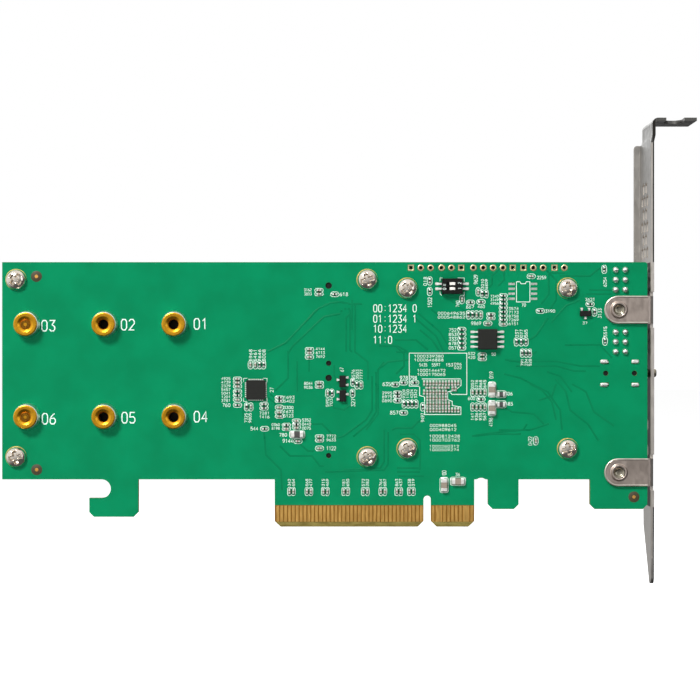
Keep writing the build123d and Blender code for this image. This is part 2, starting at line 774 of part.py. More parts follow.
def lamp_holder(middle_z):
    """Black holder for one stack of lamps: a block with a bored tunnel for each lamp."""
    half = lamps_per_stack * lamp_pitch / 2
    height = (part_face, part_face + lamp_holder_height)
    block = slab(lamp_holder_x, height, (middle_z - half, middle_z + half))
    for z in [row for row in lamp_rows_z if abs(row - middle_z) < half]:
        radius = lamp_radius + seat_clearance
        block -= bar_x(lamp_y, z, radius, lamp_columns_x[1] + 0.6, lamp_holder_x[1] + 1)
        groove = (lamp_columns_x[0] - lead_width / 2, lamp_columns_x[1] + lead_width / 2)
        for x in lamp_columns_x:
            half_lead = lead_width / 2 + seat_clearance
            lead_cut = (part_face - 0.1, lamp_y + lead_width / 2)
            block -= slab((x - half_lead, x + half_lead), lead_cut, (z - half_lead, z + half_lead))
        block -= slab(groove, (lamp_y - lead_width / 2, lamp_y + lead_width / 2), (z - 0.1, z + 0.1))
    return block


def lamps():
    """Six small round lamps that end flush in the bracket's holes."""
    start = lamp_columns_x[1] + 0.6
    return group(bar_x(lamp_y, z, lamp_radius, start, bracket_face_x) for z in lamp_rows_z)


def lamp_leads():
    """Square lamp leads through the board, with their trimmed ends on the solder side."""
    half = lead_width / 2
    low = solder_face - lead_stub
    high = lamp_y + half - 0.02
    leads = []
    for z in lamp_rows_z:
        for x in lamp_columns_x:
            leads.append(slab((x - half, x + half), (low, high), (z - half, z + half)))
    return group(leads)


def button_base():
    """Button housing: a block with a round guide for the plunger and two pegs in the board."""
    half = button_width / 2 - button_frame_sheet
    height = (part_face, part_face + button_height - button_frame_sheet)
    body = slab(button_x, height, (button_z - half, button_z + half))
    guide = plunger_neck_radius + plunger_clearance
    body -= bar_x(button_y, button_z, guide, button_x[1] - 3.6, button_x[1] + 1)
    for x in button_peg_places():
        body += rod(x, button_z, button_peg_radius, part_face - socket_peg_length, part_face)
    return body


def button_frame():
    """Metal frame over the button housing: top, two sides and four solder tabs through the board."""
    half = button_width / 2
    inner = half - button_frame_sheet
    top = part_face + button_height
    frame = slab(button_x, (top - button_frame_sheet, top), (button_z - half, button_z + half))
    for side in (-1, 1):
        near, far = sorted((button_z + side * inner, button_z + side * half))
        frame += slab(button_x, (part_face, top), (near, far))
    for x, z in button_tab_places():
        width = (x - button_tab_length / 2 + 0.1, x + button_tab_length / 2 - 0.1)
        thick = (z - button_frame_sheet / 2, z + button_frame_sheet / 2)
        frame += slab(width, (solder_face - 0.5, part_face + 0.6), thick)
    return frame


def button_plunger():
    """Turned plunger: a wide foot in the housing's guide and a slim tip through the bracket."""
    foot_start = button_x[1] - 3.6 + plunger_travel + plunger_clearance
    foot = bar_x(button_y, button_z, plunger_neck_radius, foot_start, button_x[1] + 0.9)
    tip = bar_x(button_y, button_z, plunger_radius, button_x[1] + 0.9, plunger_tip_x)
    return foot + chamfer(tip.edges().sort_by(Axis.X)[-1], 0.3)


def slider_rows():
    """Z of each slider of the option switch."""
    return [switch_centre[1] + field_rise + side * switch_lead_pitch / 2 for side in (1, -1)]


def switch_housing():
    """Option-switch housing with one pocket for each slider."""
    x = switch_centre[0]
    outline = Pos(x, switch_centre[1] + field_rise) * Rectangle(switch_length, switch_width)
    top = solder_face - switch_height
    body = raise_from(outline, solder_face - package_standoff, top, taper=switch_draft)
    left = x - slider_length / 2 - slider_travel - slider_clearance
    right = x + slider_length / 2 + slider_clearance
    half = slider_width / 2 + slider_clearance
    for row in slider_rows():
        body -= slab((left, right), (top - 1, top + slider_pocket_depth), (row - half, row + half))
    return body


def switch_slider(row):
    """White slider that stands a little proud of its pocket."""
    x = switch_centre[0]
    top = solder_face - switch_height
    depth = (top - slider_proud, top + slider_pocket_depth - slider_clearance)
    half = slider_width / 2
    return slab((x - slider_length / 2, x + slider_length / 2), depth, (row - half, row + half))


def gull_lead(inner_x, outer_x, z, width, shoulder):
    """One bent chip lead in the XY plane, from the package side down to the solder face."""
    thick = lead_sheet
    sign = 1 if outer_x > inner_x else -1
    knee = inner_x + sign * abs(outer_x - inner_x) * 0.45
    top = solder_face - shoulder
    points = [
        (inner_x, top - thick / 2),
        (knee + sign * thick / 2, top - thick / 2),
        (knee + sign * thick, solder_face - thick),
        (outer_x, solder_face - thick),
        (outer_x, solder_face),
        (knee, solder_face),
        (knee - sign * thick / 2, top + thick / 2),
        (inner_x, top + thick / 2),
    ]
    face = make_face(Polyline(*points, close=True))
    return extrude(Plane.XY.offset(z - width / 2) * face, amount=width)


def package(centre, body):
    """Moulded chip body on the solder side with drafted walls."""
    outline = Pos(centre[0], centre[1] + field_rise) * Rectangle(body[0], body[1])
    return raise_from(outline, solder_face - package_standoff, solder_face - body[2], taper=package_draft)


def small_chip(x, z, size, upright=False):
    """Block-shaped chip on the solder side; upright turns its long side to Z."""
    length, width, height = size
    if upright:
        length, width = width, length
    y = (solder_face - chip_standoff - height, solder_face - chip_standoff)
    return slab((x - length / 2, x + length / 2), y, (z - width / 2, z + width / 2))


def flat_chips(size, columns):
    """Chips lying along X, in columns that each hold an X and the heights."""
    return [small_chip(x, z + field_rise, size) for x, heights in columns for z in heights]


def upright_chips(size, rows):
    """Chips standing along Z, in rows that each hold a height and the X places."""
    return [small_chip(x, z + field_rise, size, upright=True) for z, places in rows for x in places]


def evenly(first, pitch, count):
    """Evenly spaced values."""
    return [first + k * pitch for k in range(count)]


def chip_resistors():
    """All small resistors on the solder side."""
    x, z = edge_resistor
    edge = [small_chip(x, z + edge_rise, chip_0402, upright=True)]
    return group(flat_chips(chip_0402, resistors_flat) + upright_chips(chip_0402, resistors_upright) + edge)


def chip_capacitors():
    """Small capacitors on the solder side outside the controller's field."""
    chips = flat_chips(cap_0402, capacitors_flat) + upright_chips(cap_0402, capacitors_upright)
    x, z = edge_capacitor
    chips.append(small_chip(x, z + edge_rise, cap_0402))
    for pair in contact_capacitor_pairs_x:
        for side in (-1, 1):
            x = pair + side * contact_capacitor_spacing / 2
            chips.append(small_chip(x, contact_capacitor_z, cap_0402, upright=True))
    return group(chips)


def decoupling_capacitors():
    """Dense capacitor field on the solder side behind the controller chip."""
    rows = []
    for z, offset, count in zip(decoupling_rows_z, decoupling_row_offsets, decoupling_row_counts):
        rows.append((z, evenly(decoupling_first_x + offset, decoupling_pitch, count)))
    rows.append((decoupling_pair_z, decoupling_pair_x))
    columns = [(x, (decoupling_flat_z,)) for x in decoupling_flat_x]
    return group(upright_chips(cap_0402, rows) + flat_chips(cap_0402, columns))


def bulk_capacitors():
    """Larger ceramic capacitors on the solder side."""
    x, heights = bulk_upright
    chips = upright_chips(cap_1206, [(z, (x,)) for z in heights])
    chips.append(small_chip(*bulk_contact_upright, cap_1206, upright=True))
    chips.append(small_chip(*bulk_contact_flat, cap_1206))
    return group(chips)


def ferrite_beads():
    """Ferrite beads on the solder side."""
    x, z = bead_large
    return group(flat_chips(bead_1206, [(x, (z,))]) + flat_chips(bead_0805, [bead_small]))


def transistors():
    """Moulded bodies of the small transistors."""
    bodies = [package((transistor_pair_x, z), transistor_body) for z in transistor_pair_z]
    return group(bodies + [package(flat_transistor_centre, flat_transistor_body)])


def transistor_leads():
    """Bent leads of the small transistors."""
    leads = []
    for z, sides, offsets in zip(transistor_pair_z, transistor_lead_sides, transistor_lead_offsets):
        for side, offset in zip(sides, offsets):
            inner = transistor_pair_x + side * (transistor_body[0] / 2 - seat_clearance)
            outer = inner + side * transistor_lead_reach
            height = z + field_rise + offset
            leads.append(gull_lead(inner, outer, height, lead_width_small, lead_shoulder))
    half = lead_width_small / 2
    depth = (solder_face - lead_shoulder, solder_face)
    for side, offset in zip(flat_transistor_lead_sides, flat_transistor_lead_offsets):
        x = flat_transistor_centre[0] + offset
        start = flat_transistor_centre[1] + field_rise
        start += side * (flat_transistor_body[1] / 2 + seat_clearance)
        across = sorted((start, start + side * transistor_lead_reach))
        leads.append(slab((x - half, x + half), depth, across))
    return group(leads)


def flash_leads():
    """Bent leads of the memory package."""
    leads = []
    shoulder = flash_body[2] / 2
    draft = shoulder * math.tan(math.radians(package_draft))
    low = flash_centre[1] + field_rise - (flash_leads_per_side - 1) / 2 * flash_lead_pitch
    for side in (-1, 1):
        inner = flash_centre[0] + side * (flash_body[0] / 2 - draft + seat_clearance)
        for z in evenly(low, flash_lead_pitch, flash_leads_per_side):
            leads.append(gull_lead(inner, inner + side * flash_lead_reach, z, lead_width_small, shoulder))
    return group(leads)


def switch_leads():
    """Bent leads of the option switch."""
    leads = []
    for side in (-1, 1):
        inner = switch_centre[0] + side * (switch_length / 2 - seat_clearance)
        for z in slider_rows():
            leads.append(gull_lead(inner, inner + side * switch_lead_reach, z, lead_width, switch_height / 3))
    return group(leads)


def interface_pads():
    """Soldered terminals round the leadless package."""
    x, z = interface_centre[0], interface_centre[1] + field_rise
    width, height = interface_pad
    edge = interface_body[0] / 2
    depth = (solder_face - height, solder_face)
    low = -(interface_pads_per_side - 1) / 2 * interface_pad_pitch
    pads = []
    for offset in evenly(low, interface_pad_pitch, interface_pads_per_side):
        across = (z + offset - width / 2, z + offset + width / 2)
        along = (x + offset - width / 2, x + offset + width / 2)
        for side in (-1, 1):
            near, far = sorted((side * edge, side * (edge + interface_pad_reach)))
            pads.append(slab((x + near, x + far), depth, across))
            pads.append(slab(along, depth, (z + near, z + far)))
    return group(pads)


def component_block(x, z, body, low=0.0):
    """Block-shaped part on the component face, or standing low above it."""
    length, width, height = body
    outline = Pos(x, z + field_rise) * Rectangle(length, width)
    return raise_from(outline, part_face + low, part_face + height)


def power_inductors():
    """Moulded power inductors under the chip heatsink."""
    return group(component_block(power_stage_x[1], z, inductor_body) for z in power_stage_z)


def regulator_chips():
    """Small regulator packages beside the inductors."""
    return group(component_block(power_stage_x[2], z, regulator_body) for z in power_stage_z)


def clock_crystal():
    """Metal-lidded crystal beside the controller chip."""
    x, z = crystal_centre
    return component_block(x, z, crystal_base) + component_block(x, z, crystal_lid, crystal_base[2])


def input_capacitors():
    """Ceramic capacitors on the component face beside the inductors."""
    offsets = (-input_capacitor_spread, input_capacitor_spread)
    places = [(power_stage_x[0], z + offset) for z in power_stage_z for offset in offsets]
    return group(component_block(x, z, input_capacitor_body) for x, z in places)


parts["circuit_board"] = circuit_board()
parts["edge_contacts_solder_side"] = edge_contacts(solder_face, -1)
parts["edge_contacts_component_side"] = edge_contacts(part_face, 1)
parts["mounting_bracket"] = mounting_bracket()
parts["bracket_screws"] = group(
    screw(collar_x, z, 1, part_face, board_thickness + sheet + bracket_screw_proud) for z in tab_rows_z
)
parts["drive_heatsink"] = finned_sink(
    (drive_sink_left_x, drive_sink_right_x),
    (drive_sink_z[0] + field_rise, drive_sink_z[1] + field_rise),
    drive_sink_standoff,
    drive_sink_base,
    drive_fin_height,
    drive_fin_count,
    drive_screws,
)
parts["drive_heatsink_screws"] = group(
    screw(x, z, -1, solder_face, board_thickness + screw_engagement) for x, z in drive_screws
)
parts["chip_heatsink"] = finned_sink(
    (chip_sink_centre[0] - chip_sink_half, chip_sink_centre[0] + chip_sink_half),
    (chip_sink_centre[1] - chip_sink_half, chip_sink_centre[1] + chip_sink_half),
    chip_sink_standoff,
    chip_sink_base,
    chip_fin_height,
    chip_fin_count,
    chip_screws,
    chip_pedestal(),
)
parts["chip_heatsink_screws"] = group(
    screw(x, z, -1, solder_face, board_thickness + screw_engagement) for x, z in chip_screws
)
pad_half = pad_size / 2
pad_low = part_face + chip_height
parts["chip_thermal_pad"] = slab(
    (controller_place[0] - pad_half, controller_place[0] + pad_half),
    (pad_low, pad_low + thermal_pad_thickness),
    (controller_place[1] - pad_half, controller_place[1] + pad_half),
)
parts["controller_chip"] = controller_chip()
for name, row_z in zip(("upper", "lower"), socket_heights):
    parts[f"drive_socket_{name}"] = drive_socket(row_z, 1)
    parts[f"socket_contacts_{name}"] = socket_contacts(row_z)
for number, (x, z) in enumerate(nut_places, start=1):
    parts[f"drive_nut_{number}"] = drive_nut(x, z)
for name, (x, z) in zip(("upper", "lower"), post_places):
    parts[f"drive_post_{name}"] = drive_post(x, z)
for name, z in zip(("upper", "lower"), lamp_stacks_z):
    parts[f"lamp_holder_{name}"] = lamp_holder(z)
parts["status_lamps"] = lamps()
parts["lamp_leads"] = lamp_leads()
parts["button_base"] = button_base()
parts["button_frame"] = button_frame()
parts["button_plunger"] = button_plunger()
parts["switch_housing"] = switch_housing()
parts["switch_leads"] = switch_leads()
for number, row in enumerate(slider_rows(), start=1):
    parts[f"switch_slider_{number}"] = switch_slider(row)
parts["chip_resistors"] = chip_resistors()
parts["chip_capacitors"] = chip_capacitors()
parts["decoupling_capacitors"] = decoupling_capacitors()
parts["bulk_capacitors"] = bulk_capacitors()
parts["ferrite_beads"] = ferrite_beads()
parts["transistors"] = transistors()
parts["transistor_leads"] = transistor_leads()
parts["flash_chip"] = package(flash_centre, flash_body)
parts["flash_leads"] = flash_leads()
parts["interface_chip"] = package(interface_centre, interface_body)
parts["interface_pads"] = interface_pads()
parts["power_inductors"] = power_inductors()
parts["regulator_chips"] = regulator_chips()
parts["clock_crystal"] = clock_crystal()
parts["input_capacitors"] = input_capacitors()

os.makedirs("parts", exist_ok=True)
for name, shape in parts.items():
    export_step(shape, f"parts/{name}.step")
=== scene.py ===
"""Looks of a storage controller card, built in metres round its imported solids."""

import logging
import math
from dataclasses import dataclass, field
from enum import Enum
from typing import Iterable, Optional, Sequence, Union

import bmesh
import bpy
import numpy as np
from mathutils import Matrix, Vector


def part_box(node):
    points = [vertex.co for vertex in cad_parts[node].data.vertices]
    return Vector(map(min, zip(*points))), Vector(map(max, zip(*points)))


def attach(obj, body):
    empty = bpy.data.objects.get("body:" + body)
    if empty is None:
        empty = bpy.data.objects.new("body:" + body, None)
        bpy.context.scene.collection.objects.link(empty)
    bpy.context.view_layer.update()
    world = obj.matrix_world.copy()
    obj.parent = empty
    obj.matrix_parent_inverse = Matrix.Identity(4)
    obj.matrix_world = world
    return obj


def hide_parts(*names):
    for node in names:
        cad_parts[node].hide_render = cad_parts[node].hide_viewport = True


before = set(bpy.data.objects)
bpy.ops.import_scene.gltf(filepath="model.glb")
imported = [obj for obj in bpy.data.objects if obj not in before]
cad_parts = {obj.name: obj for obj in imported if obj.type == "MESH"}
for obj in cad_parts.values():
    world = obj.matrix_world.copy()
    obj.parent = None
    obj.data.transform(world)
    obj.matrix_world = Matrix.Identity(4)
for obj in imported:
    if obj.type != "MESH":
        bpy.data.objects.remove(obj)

log = logging.getLogger("card")

Tree = bpy.types.NodeTree
Socket = bpy.types.NodeSocket


MM = 0.001
SOLDER = -0.785
PARTS = 0.785
CONTACT_TOP = 5.5
ROOT = "card"
EDGE_RESISTOR = (45.8, 47.9)


class Turn(Enum):
    """Reading direction of a printed number."""

    LEVEL = 0
    UPWARD = 1


def from_photo(points: Sequence) -> np.ndarray:
    """Card places of picture points on the solder face.

    Formula: X = (px - 427.2) / 3.88 and Z = (527 - py) / 3.88, in millimetres.

    Args:
        points: (px, py) pairs.

    Returns:
        (n, 2) array of (X, Z).
    """
    data = np.asarray(points, float).reshape(-1, 2)
    return np.stack([(data[:, 0] - 427.2) / 3.88, (527.0 - data[:, 1]) / 3.88], 1)


@dataclass
class Shell:
    """Surface held as points in millimetres and faces as index tuples."""

    points: np.ndarray
    faces: list

    @staticmethod
    def joined(shells: Iterable["Shell"]) -> "Shell":
        """One shell that holds all the given ones.

        Args:
            shells: shells to gather.

        Returns:
            The joined shell.
        """
        points, faces, start = [], [], 0
        for shell in shells:
            points.append(shell.points)
            faces.extend(tuple(i + start for i in f) for f in shell.faces)
            start += len(shell.points)
        return Shell(np.concatenate(points), faces)


def grid_faces(rows: int, columns: int, wrap_rows: bool, wrap_columns: bool) -> list:
    """Quads of a grid of points stored row by row.

    Args:
        rows: points along the first parameter.
        columns: points along the second parameter.
        wrap_rows: joins the last row to the first.
        wrap_columns: joins the last column to the first.

    Returns:
        List of four-index tuples.
    """
    u = np.arange(rows if wrap_rows else rows - 1)[:, None]
    v = np.arange(columns if wrap_columns else columns - 1)[None, :]
    a = u * columns + v
    b = u * columns + (v + 1) % columns
    c = ((u + 1) % rows) * columns + (v + 1) % columns
    d = ((u + 1) % rows) * columns + v
    return [tuple(q) for q in np.stack(np.broadcast_arrays(a, b, c, d), -1).reshape(-1, 4).tolist()]


def lathe(profile: Sequence, centre: tuple, steps: int = 40, side: int = -1, square: bool = False) -> Shell:
    """Turned form about an axis across the board.

    Formula: P(u, v) = centre + r(u) (cos v, sin v) in X and Z, with Y = h(u). A square form divides r by the
    larger of |cos v| and |sin v|.

    Args:
        profile: (radius, height) pairs; height is measured from the board's middle towards side.
        centre: (X, Z) of the axis.
        steps: divisions round the axis.
        side: -1 for heights towards the solder side.
        square: makes the outline square where the radius is over 0.6 of the largest.

    Returns:
        The closed shell, whose profile runs back to its start where it doesn't touch the axis.
    """
    line = np.asarray(profile, float)
    angle = np.arange(steps) * 2 * np.pi / steps
    radius = np.repeat(line[:, :1], steps, 1)
    if square:
        stretch = 1 / np.maximum(np.abs(np.cos(angle)), np.abs(np.sin(angle)))
        radius = np.where(radius > 0.6 * radius.max(), radius * stretch, radius)
    x = centre[0] + radius * np.cos(angle)
    z = centre[1] + radius * np.sin(angle)
    y = np.repeat(line[:, 1:] * side, steps, 1)
    closed = line[0, 0] > 1e-6 and line[-1, 0] > 1e-6
    return Shell(np.stack([x, y, z], -1).reshape(-1, 3), grid_faces(len(line), steps, closed, True))


def drawn(rings: np.ndarray) -> Shell:
    """Form through rings of points, closed at both ends.

    Args:
        rings: (stations, points, 3) places.

    Returns:
        The closed form.
    """
    stations, count = rings.shape[:2]
    last = (stations - 1) * count
    faces = grid_faces(stations, count, False, True)
    faces += [tuple(range(count - 1, -1, -1)), tuple(range(last, last + count))]
    return Shell(rings.reshape(-1, 3), faces)


FLAT = ((1, 0), (1, 1), (-1, 1), (-1, 0))
ROUND = ((1, 0), (0.82, 0.5), (0.45, 0.9), (0, 1), (-0.45, 0.9), (-0.82, 0.5), (-1, 0))


def ribbon(path: np.ndarray, width: float, low: float, high: float, section: Sequence = FLAT) -> Shell:
    """Strip along a path on the board, closed on all sides.

    Formula: each point is moved by half the width along the mitre, the sum of the unit normals of its two
    runs divided by one plus the cosine between them.

    Args:
        path: (n, 2) points in (X, Z); the last repeats the first on a closed path.
        width: strip width in millimetres.
        low: Y of the side on the board.
        high: Y of the outer side.
        section: (across, rise) points; 1 is half the width and the full height.

    Returns:
        The strip.
    """
    path = np.asarray(path, float)
    closed = bool(np.allclose(path[0], path[-1])) and len(path) > 3
    if closed:
        path = path[:-1]
        runs = np.roll(path, -1, 0) - path
    else:
        runs = np.diff(path, axis=0)
    runs = runs / np.maximum(np.linalg.norm(runs, axis=1, keepdims=True), 1e-9)
    normals = np.stack([-runs[:, 1], runs[:, 0]], 1)
    if closed:
        before = np.roll(normals, 1, 0)
        after = normals
    else:
        before = np.concatenate([normals[:1], normals])
        after = np.concatenate([normals, normals[-1:]])
    cosine = np.sum(before * after, 1, keepdims=True)
    mitre = (before + after) / np.maximum(1 + cosine, 0.35) * width / 2
    form = np.asarray(section, float)
    ring = np.empty((len(path), len(form), 3))
    ring[:, :, [0, 2]] = path[:, None] + mitre[:, None] * form[None, :, :1]
    ring[:, :, 1] = low + (high - low) * form[:, 1]
    if closed:
        return Shell(ring.reshape(-1, 3), grid_faces(len(path), len(form), True, True))
    return drawn(ring)


def plate(outline: Sequence, low: float, high: float) -> Shell:
    """Flat plate between two depths, with an outline in (X, Z).

    Args:
        outline: corner points in order, without repeating the first.
        low: Y of one face.
        high: Y of the other face.

    Returns:
        The closed plate.
    """
    line = np.asarray(outline, float)
    return drawn(np.stack([np.insert(line, 1, depth, axis=1) for depth in (low, high)]))


def rounded_outline(length: float, width: float, radius: float, steps: int = 3) -> np.ndarray:
    """Closed line of a rectangle with round corners about the origin.

    Args:
        length: size on the first axis.
        width: size on the second axis.
        radius: corner radius, at most half the smaller size.
        steps: runs in each corner.

    Returns:
        (n, 2) points; the last repeats the first.
    """
    radius = min(radius, length / 2 - 0.001, width / 2 - 0.001)
    quarter = np.linspace(0, np.pi / 2, steps + 1)
    corners_at = np.array([(1, 1), (-1, 1), (-1, -1), (1, -1)]) * (length / 2 - radius, width / 2 - radius)
    angle = quarter[None, :] + np.arange(4)[:, None] * np.pi / 2
    line = corners_at[:, None] + radius * np.stack([np.cos(angle), np.sin(angle)], -1)
    line = line.reshape(-1, 2)
    return np.concatenate([line, line[:1]])


def stamped(template: Shell, centres: np.ndarray, sizes: np.ndarray, turned: np.ndarray) -> Shell:
    """Copies of a unit template, one for each place.

    Formula: P = centre + size * p, with X and Z of p swapped where the place is turned.

    Args:
        template: shell with points between -0.5 and 0.5; X is its length and Z its width.
        centres: (k, 3) places.
        sizes: (k, 3) length, height and width of each copy.
        turned: (k,) true where the length runs along Z.

    Returns:
        One shell with all copies.
    """
    scaled = template.points[None] * sizes[:, None, :]
    swapped = scaled[:, :, [2, 1, 0]] * np.array([-1, 1, 1])
    placed = np.where(turned[:, None, None], swapped, scaled) + centres[:, None, :]
    count = len(template.points)
    faces = [tuple(i + k * count for i in f) for k in range(len(centres)) for f in template.faces]
    return Shell(placed.reshape(-1, 3), faces)


def islands(node: str) -> tuple:
    """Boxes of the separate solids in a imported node.

    Each point takes the smallest label of its triangle's corners, again and again until none changes.

    Args:
        node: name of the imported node.

    Returns:
        (k, 3) centres and (k, 3) extents in millimetres.
    """
    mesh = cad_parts[node].data
    co = np.empty(len(mesh.vertices) * 3)
    mesh.vertices.foreach_get("co", co)
    mesh.calc_loop_triangles()
    tri = np.empty(len(mesh.loop_triangles) * 3, int)
    mesh.loop_triangles.foreach_get("vertices", tri)
    keys, index = np.unique(np.round(co.reshape(-1, 3) / MM, 3), axis=0, return_inverse=True)
    tri = index.reshape(-1)[tri].reshape(-1, 3)
    label = np.arange(len(keys))
    while True:
        low = label[tri].min(1)
        new = label.copy()
        np.minimum.at(new, tri.reshape(-1), np.repeat(low, 3))
        if np.array_equal(new, label):
            break
        label = new
    groups = [keys[label == k] for k in np.unique(label)]
    low = np.array([g.min(0) for g in groups])
    high = np.array([g.max(0) for g in groups])
    return (low + high) / 2, high - low


def chip_places(node: str) -> tuple:
    """Boxes of a kind of small chip; the resistors gain the one at the board's edge that has no solid.

    Args:
        node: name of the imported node.

    Returns:
        (k, 3) centres and (k, 3) extents in millimetres.
    """
    centres, extents = islands(node)
    if node == "chip_resistors":
        upright = extents[extents[:, 2] > extents[:, 0]][:1]
        centres = np.concatenate([centres, [(EDGE_RESISTOR[0], centres[0, 1], EDGE_RESISTOR[1])]])
        extents = np.concatenate([extents, upright])
    return centres, extents


def middle_of(node: str) -> tuple:
    """Middle (X, Z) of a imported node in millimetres."""
    low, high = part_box(node)
    return tuple((low[k] + high[k]) / 2 / MM for k in (0, 2))


def smooth_below(work: bmesh.types.BMesh, limit: float) -> None:
    """Shades the faces smooth and leaves sharp the edges that bend more than a limit in radians."""
    for face in work.faces:
        face.smooth = True
    for edge in work.edges:
        edge.smooth = len(edge.link_faces) == 2 and edge.calc_face_angle(0.0) < limit


def merged_mesh(shell: Shell, name: str, angle: Optional[float]) -> bpy.types.Mesh:
    """Mesh in metres from a shell, welded and with outward faces.

    Args:
        shell: surface in millimetres.
        name: mesh name.
        angle: edges flatter than this angle in degrees are shaded smooth; None leaves all flat.

    Returns:
        The mesh.
    """
    mesh = bpy.data.meshes.new(name)
    mesh.from_pydata((shell.points * MM).tolist(), [], shell.faces)
    work = bmesh.new()
    work.from_mesh(mesh)
    bmesh.ops.remove_doubles(work, verts=work.verts, dist=2e-7)
    bmesh.ops.dissolve_degenerate(work, edges=work.edges, dist=1e-8)
    bmesh.ops.recalc_face_normals(work, faces=work.faces)
    if angle is not None:
        smooth_below(work, math.radians(angle))
    work.to_mesh(mesh)
    work.free()
    return mesh


def new_object(name: str, data: bpy.types.ID) -> bpy.types.Object:
    """New object with the given data, linked to the scene."""
    obj = bpy.data.objects.new(name, data)
    bpy.context.scene.collection.objects.link(obj)
    return obj


def show(
    mesh: bpy.types.Mesh, name: str, finish: "Finish", stands_for: Sequence[str], body: str = ROOT
) -> bpy.types.Object:
    """Puts a mesh in the scene as a finished piece and ties it to its body.

    Args:
        mesh: its surface in metres.
        name: piece name.
        finish: its finish.
        stands_for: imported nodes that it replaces.
        body: body that carries it.

    Returns:
        The new object.
    """
    mesh.materials.clear()
    mesh.materials.append(finish.material())
    obj = new_object(name, mesh)
    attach(obj, body)
    if stands_for:
        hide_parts(*stands_for)
    log.info("%s: %d faces on %s", name, len(mesh.polygons), body)
    return obj


def add_piece(
    name: str, shells: Iterable[Shell], finish: "Finish", stands_for: Sequence[str] = (),
    angle: Optional[float] = 35,
) -> None:
    """Shows one piece that is made of shells.

    Args:
        name: piece name.
        shells: surfaces in millimetres.
        finish: its finish.
        stands_for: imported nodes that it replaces.
        angle: smooth-shading limit in degrees.
    """
    show(merged_mesh(Shell.joined(shells), name, angle), name, finish, stands_for)


def rounded_copy(
    node: str, name: str, finish: "Finish", width: float, slot: str, body: str = ROOT, segments: int = 2
) -> None:
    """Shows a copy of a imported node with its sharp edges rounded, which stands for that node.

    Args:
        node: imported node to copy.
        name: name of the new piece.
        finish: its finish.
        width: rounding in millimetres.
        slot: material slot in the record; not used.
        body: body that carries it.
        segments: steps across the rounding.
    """
    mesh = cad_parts[node].data.copy()
    mesh.name = name
    sharp = math.radians(32)
    work = bmesh.new()
    work.from_mesh(mesh)
    bmesh.ops.remove_doubles(work, verts=work.verts, dist=1e-6)
    bmesh.ops.dissolve_limit(work, angle_limit=math.radians(2), verts=work.verts, edges=work.edges)
    smooth_below(work, sharp)
    work.to_mesh(mesh)
    work.free()
    bevel = show(mesh, name, finish, (node,), body).modifiers.new("edge_rounding", "BEVEL")
    bevel.width = width * MM
    bevel.segments = segments
    bevel.limit_method = "ANGLE"
    bevel.angle_limit = sharp
    bevel.harden_normals = True


def dress_node(node: str, finish: "Finish") -> None:
    """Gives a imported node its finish."""
    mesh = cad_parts[node].data
    mesh.materials.clear()
    mesh.materials.append(finish.material())
    log.info("%s: packed node with %s", node, finish.name)


def linear(colour: str) -> tuple:
    """Linear RGBA of an sRGB hex value.

    Args:
        colour: "#RRGGBB".

    Returns:
        Four linear components.
    """
    parts = [int(colour[i : i + 2], 16) / 255 for i in (1, 3, 5)]
    return (*[c / 12.92 if c <= 0.04045 else ((c + 0.055) / 1.055) ** 2.4 for c in parts], 1.0)


def add_node(
    tree: Tree, kind: str, links: Optional[dict] = None, out: Union[int, str] = 0, stops: Sequence = (),
    **settings,
) -> Optional[Socket]:
    """Adds a shader node, sets it and links it.

    Args:
        tree: node tree.
        kind: node type name without its "ShaderNode" prefix.
        links: input name or index to a number, a "#RRGGBB" colour or an output socket.
        out: the output that is wanted.
        stops: (place, "#RRGGBB") of each element of a colour ramp.
        settings: node properties.

    Returns:
        That output, or None where the node has none.
    """
    node = tree.nodes.new("ShaderNode" + kind)
    for key, value in settings.items():
        setattr(node, key, value)
    for element, (place, colour) in zip(node.color_ramp.elements if stops else (), stops):
        element.position = place
        element.color = linear(colour)
    for key, value in (links or {}).items():
        if isinstance(value, Socket):
            tree.links.new(value, node.inputs[key])
        else:
            node.inputs[key].default_value = linear(value) if isinstance(value, str) else value
    return node.outputs[out] if node.outputs else None


def cloud(tree: Tree, scale_mm: float, detail: float, stretch: tuple = (1, 1, 1)) -> Socket:
    """Noise in object coordinates.

    Args:
        tree: node tree.
        scale_mm: real size of one unit of the pattern.
        detail: how many finer layers it has.
        stretch: how much longer the pattern is along each axis.

    Returns:
        A value from 0 to 1.
    """
    factor = tuple(1 / (scale_mm * MM * s) for s in stretch)
    where = add_node(tree, "Mapping", {"Vector": add_node(tree, "TexCoord", out="Object"), "Scale": factor})
    return add_node(tree, "TexNoise", {"Vector": where, "Scale": 1.0, "Detail": detail})


def inside(tree: Tree, share: Union[float, Socket] = 1.0, **spans) -> Socket:
    """Share that is kept inside a box of object coordinates and is zero elsewhere.

    Args:
        tree: node tree.
        share: what is kept.
        spans: X, Y or Z to its (low, high) in millimetres.

    Returns:
        The share times each comparison.
    """
    where = add_node(tree, "SeparateXYZ", {0: add_node(tree, "TexCoord", out="Object")}).node.outputs
    for axis, limits in spans.items():
        for limit, test in zip(limits, ("GREATER_THAN", "LESS_THAN")):
            passed = add_node(tree, "Math", {0: where[axis], 1: limit * MM}, operation=test)
            share = add_node(tree, "Math", {0: share, 1: passed}, operation="MULTIPLY")
    return share


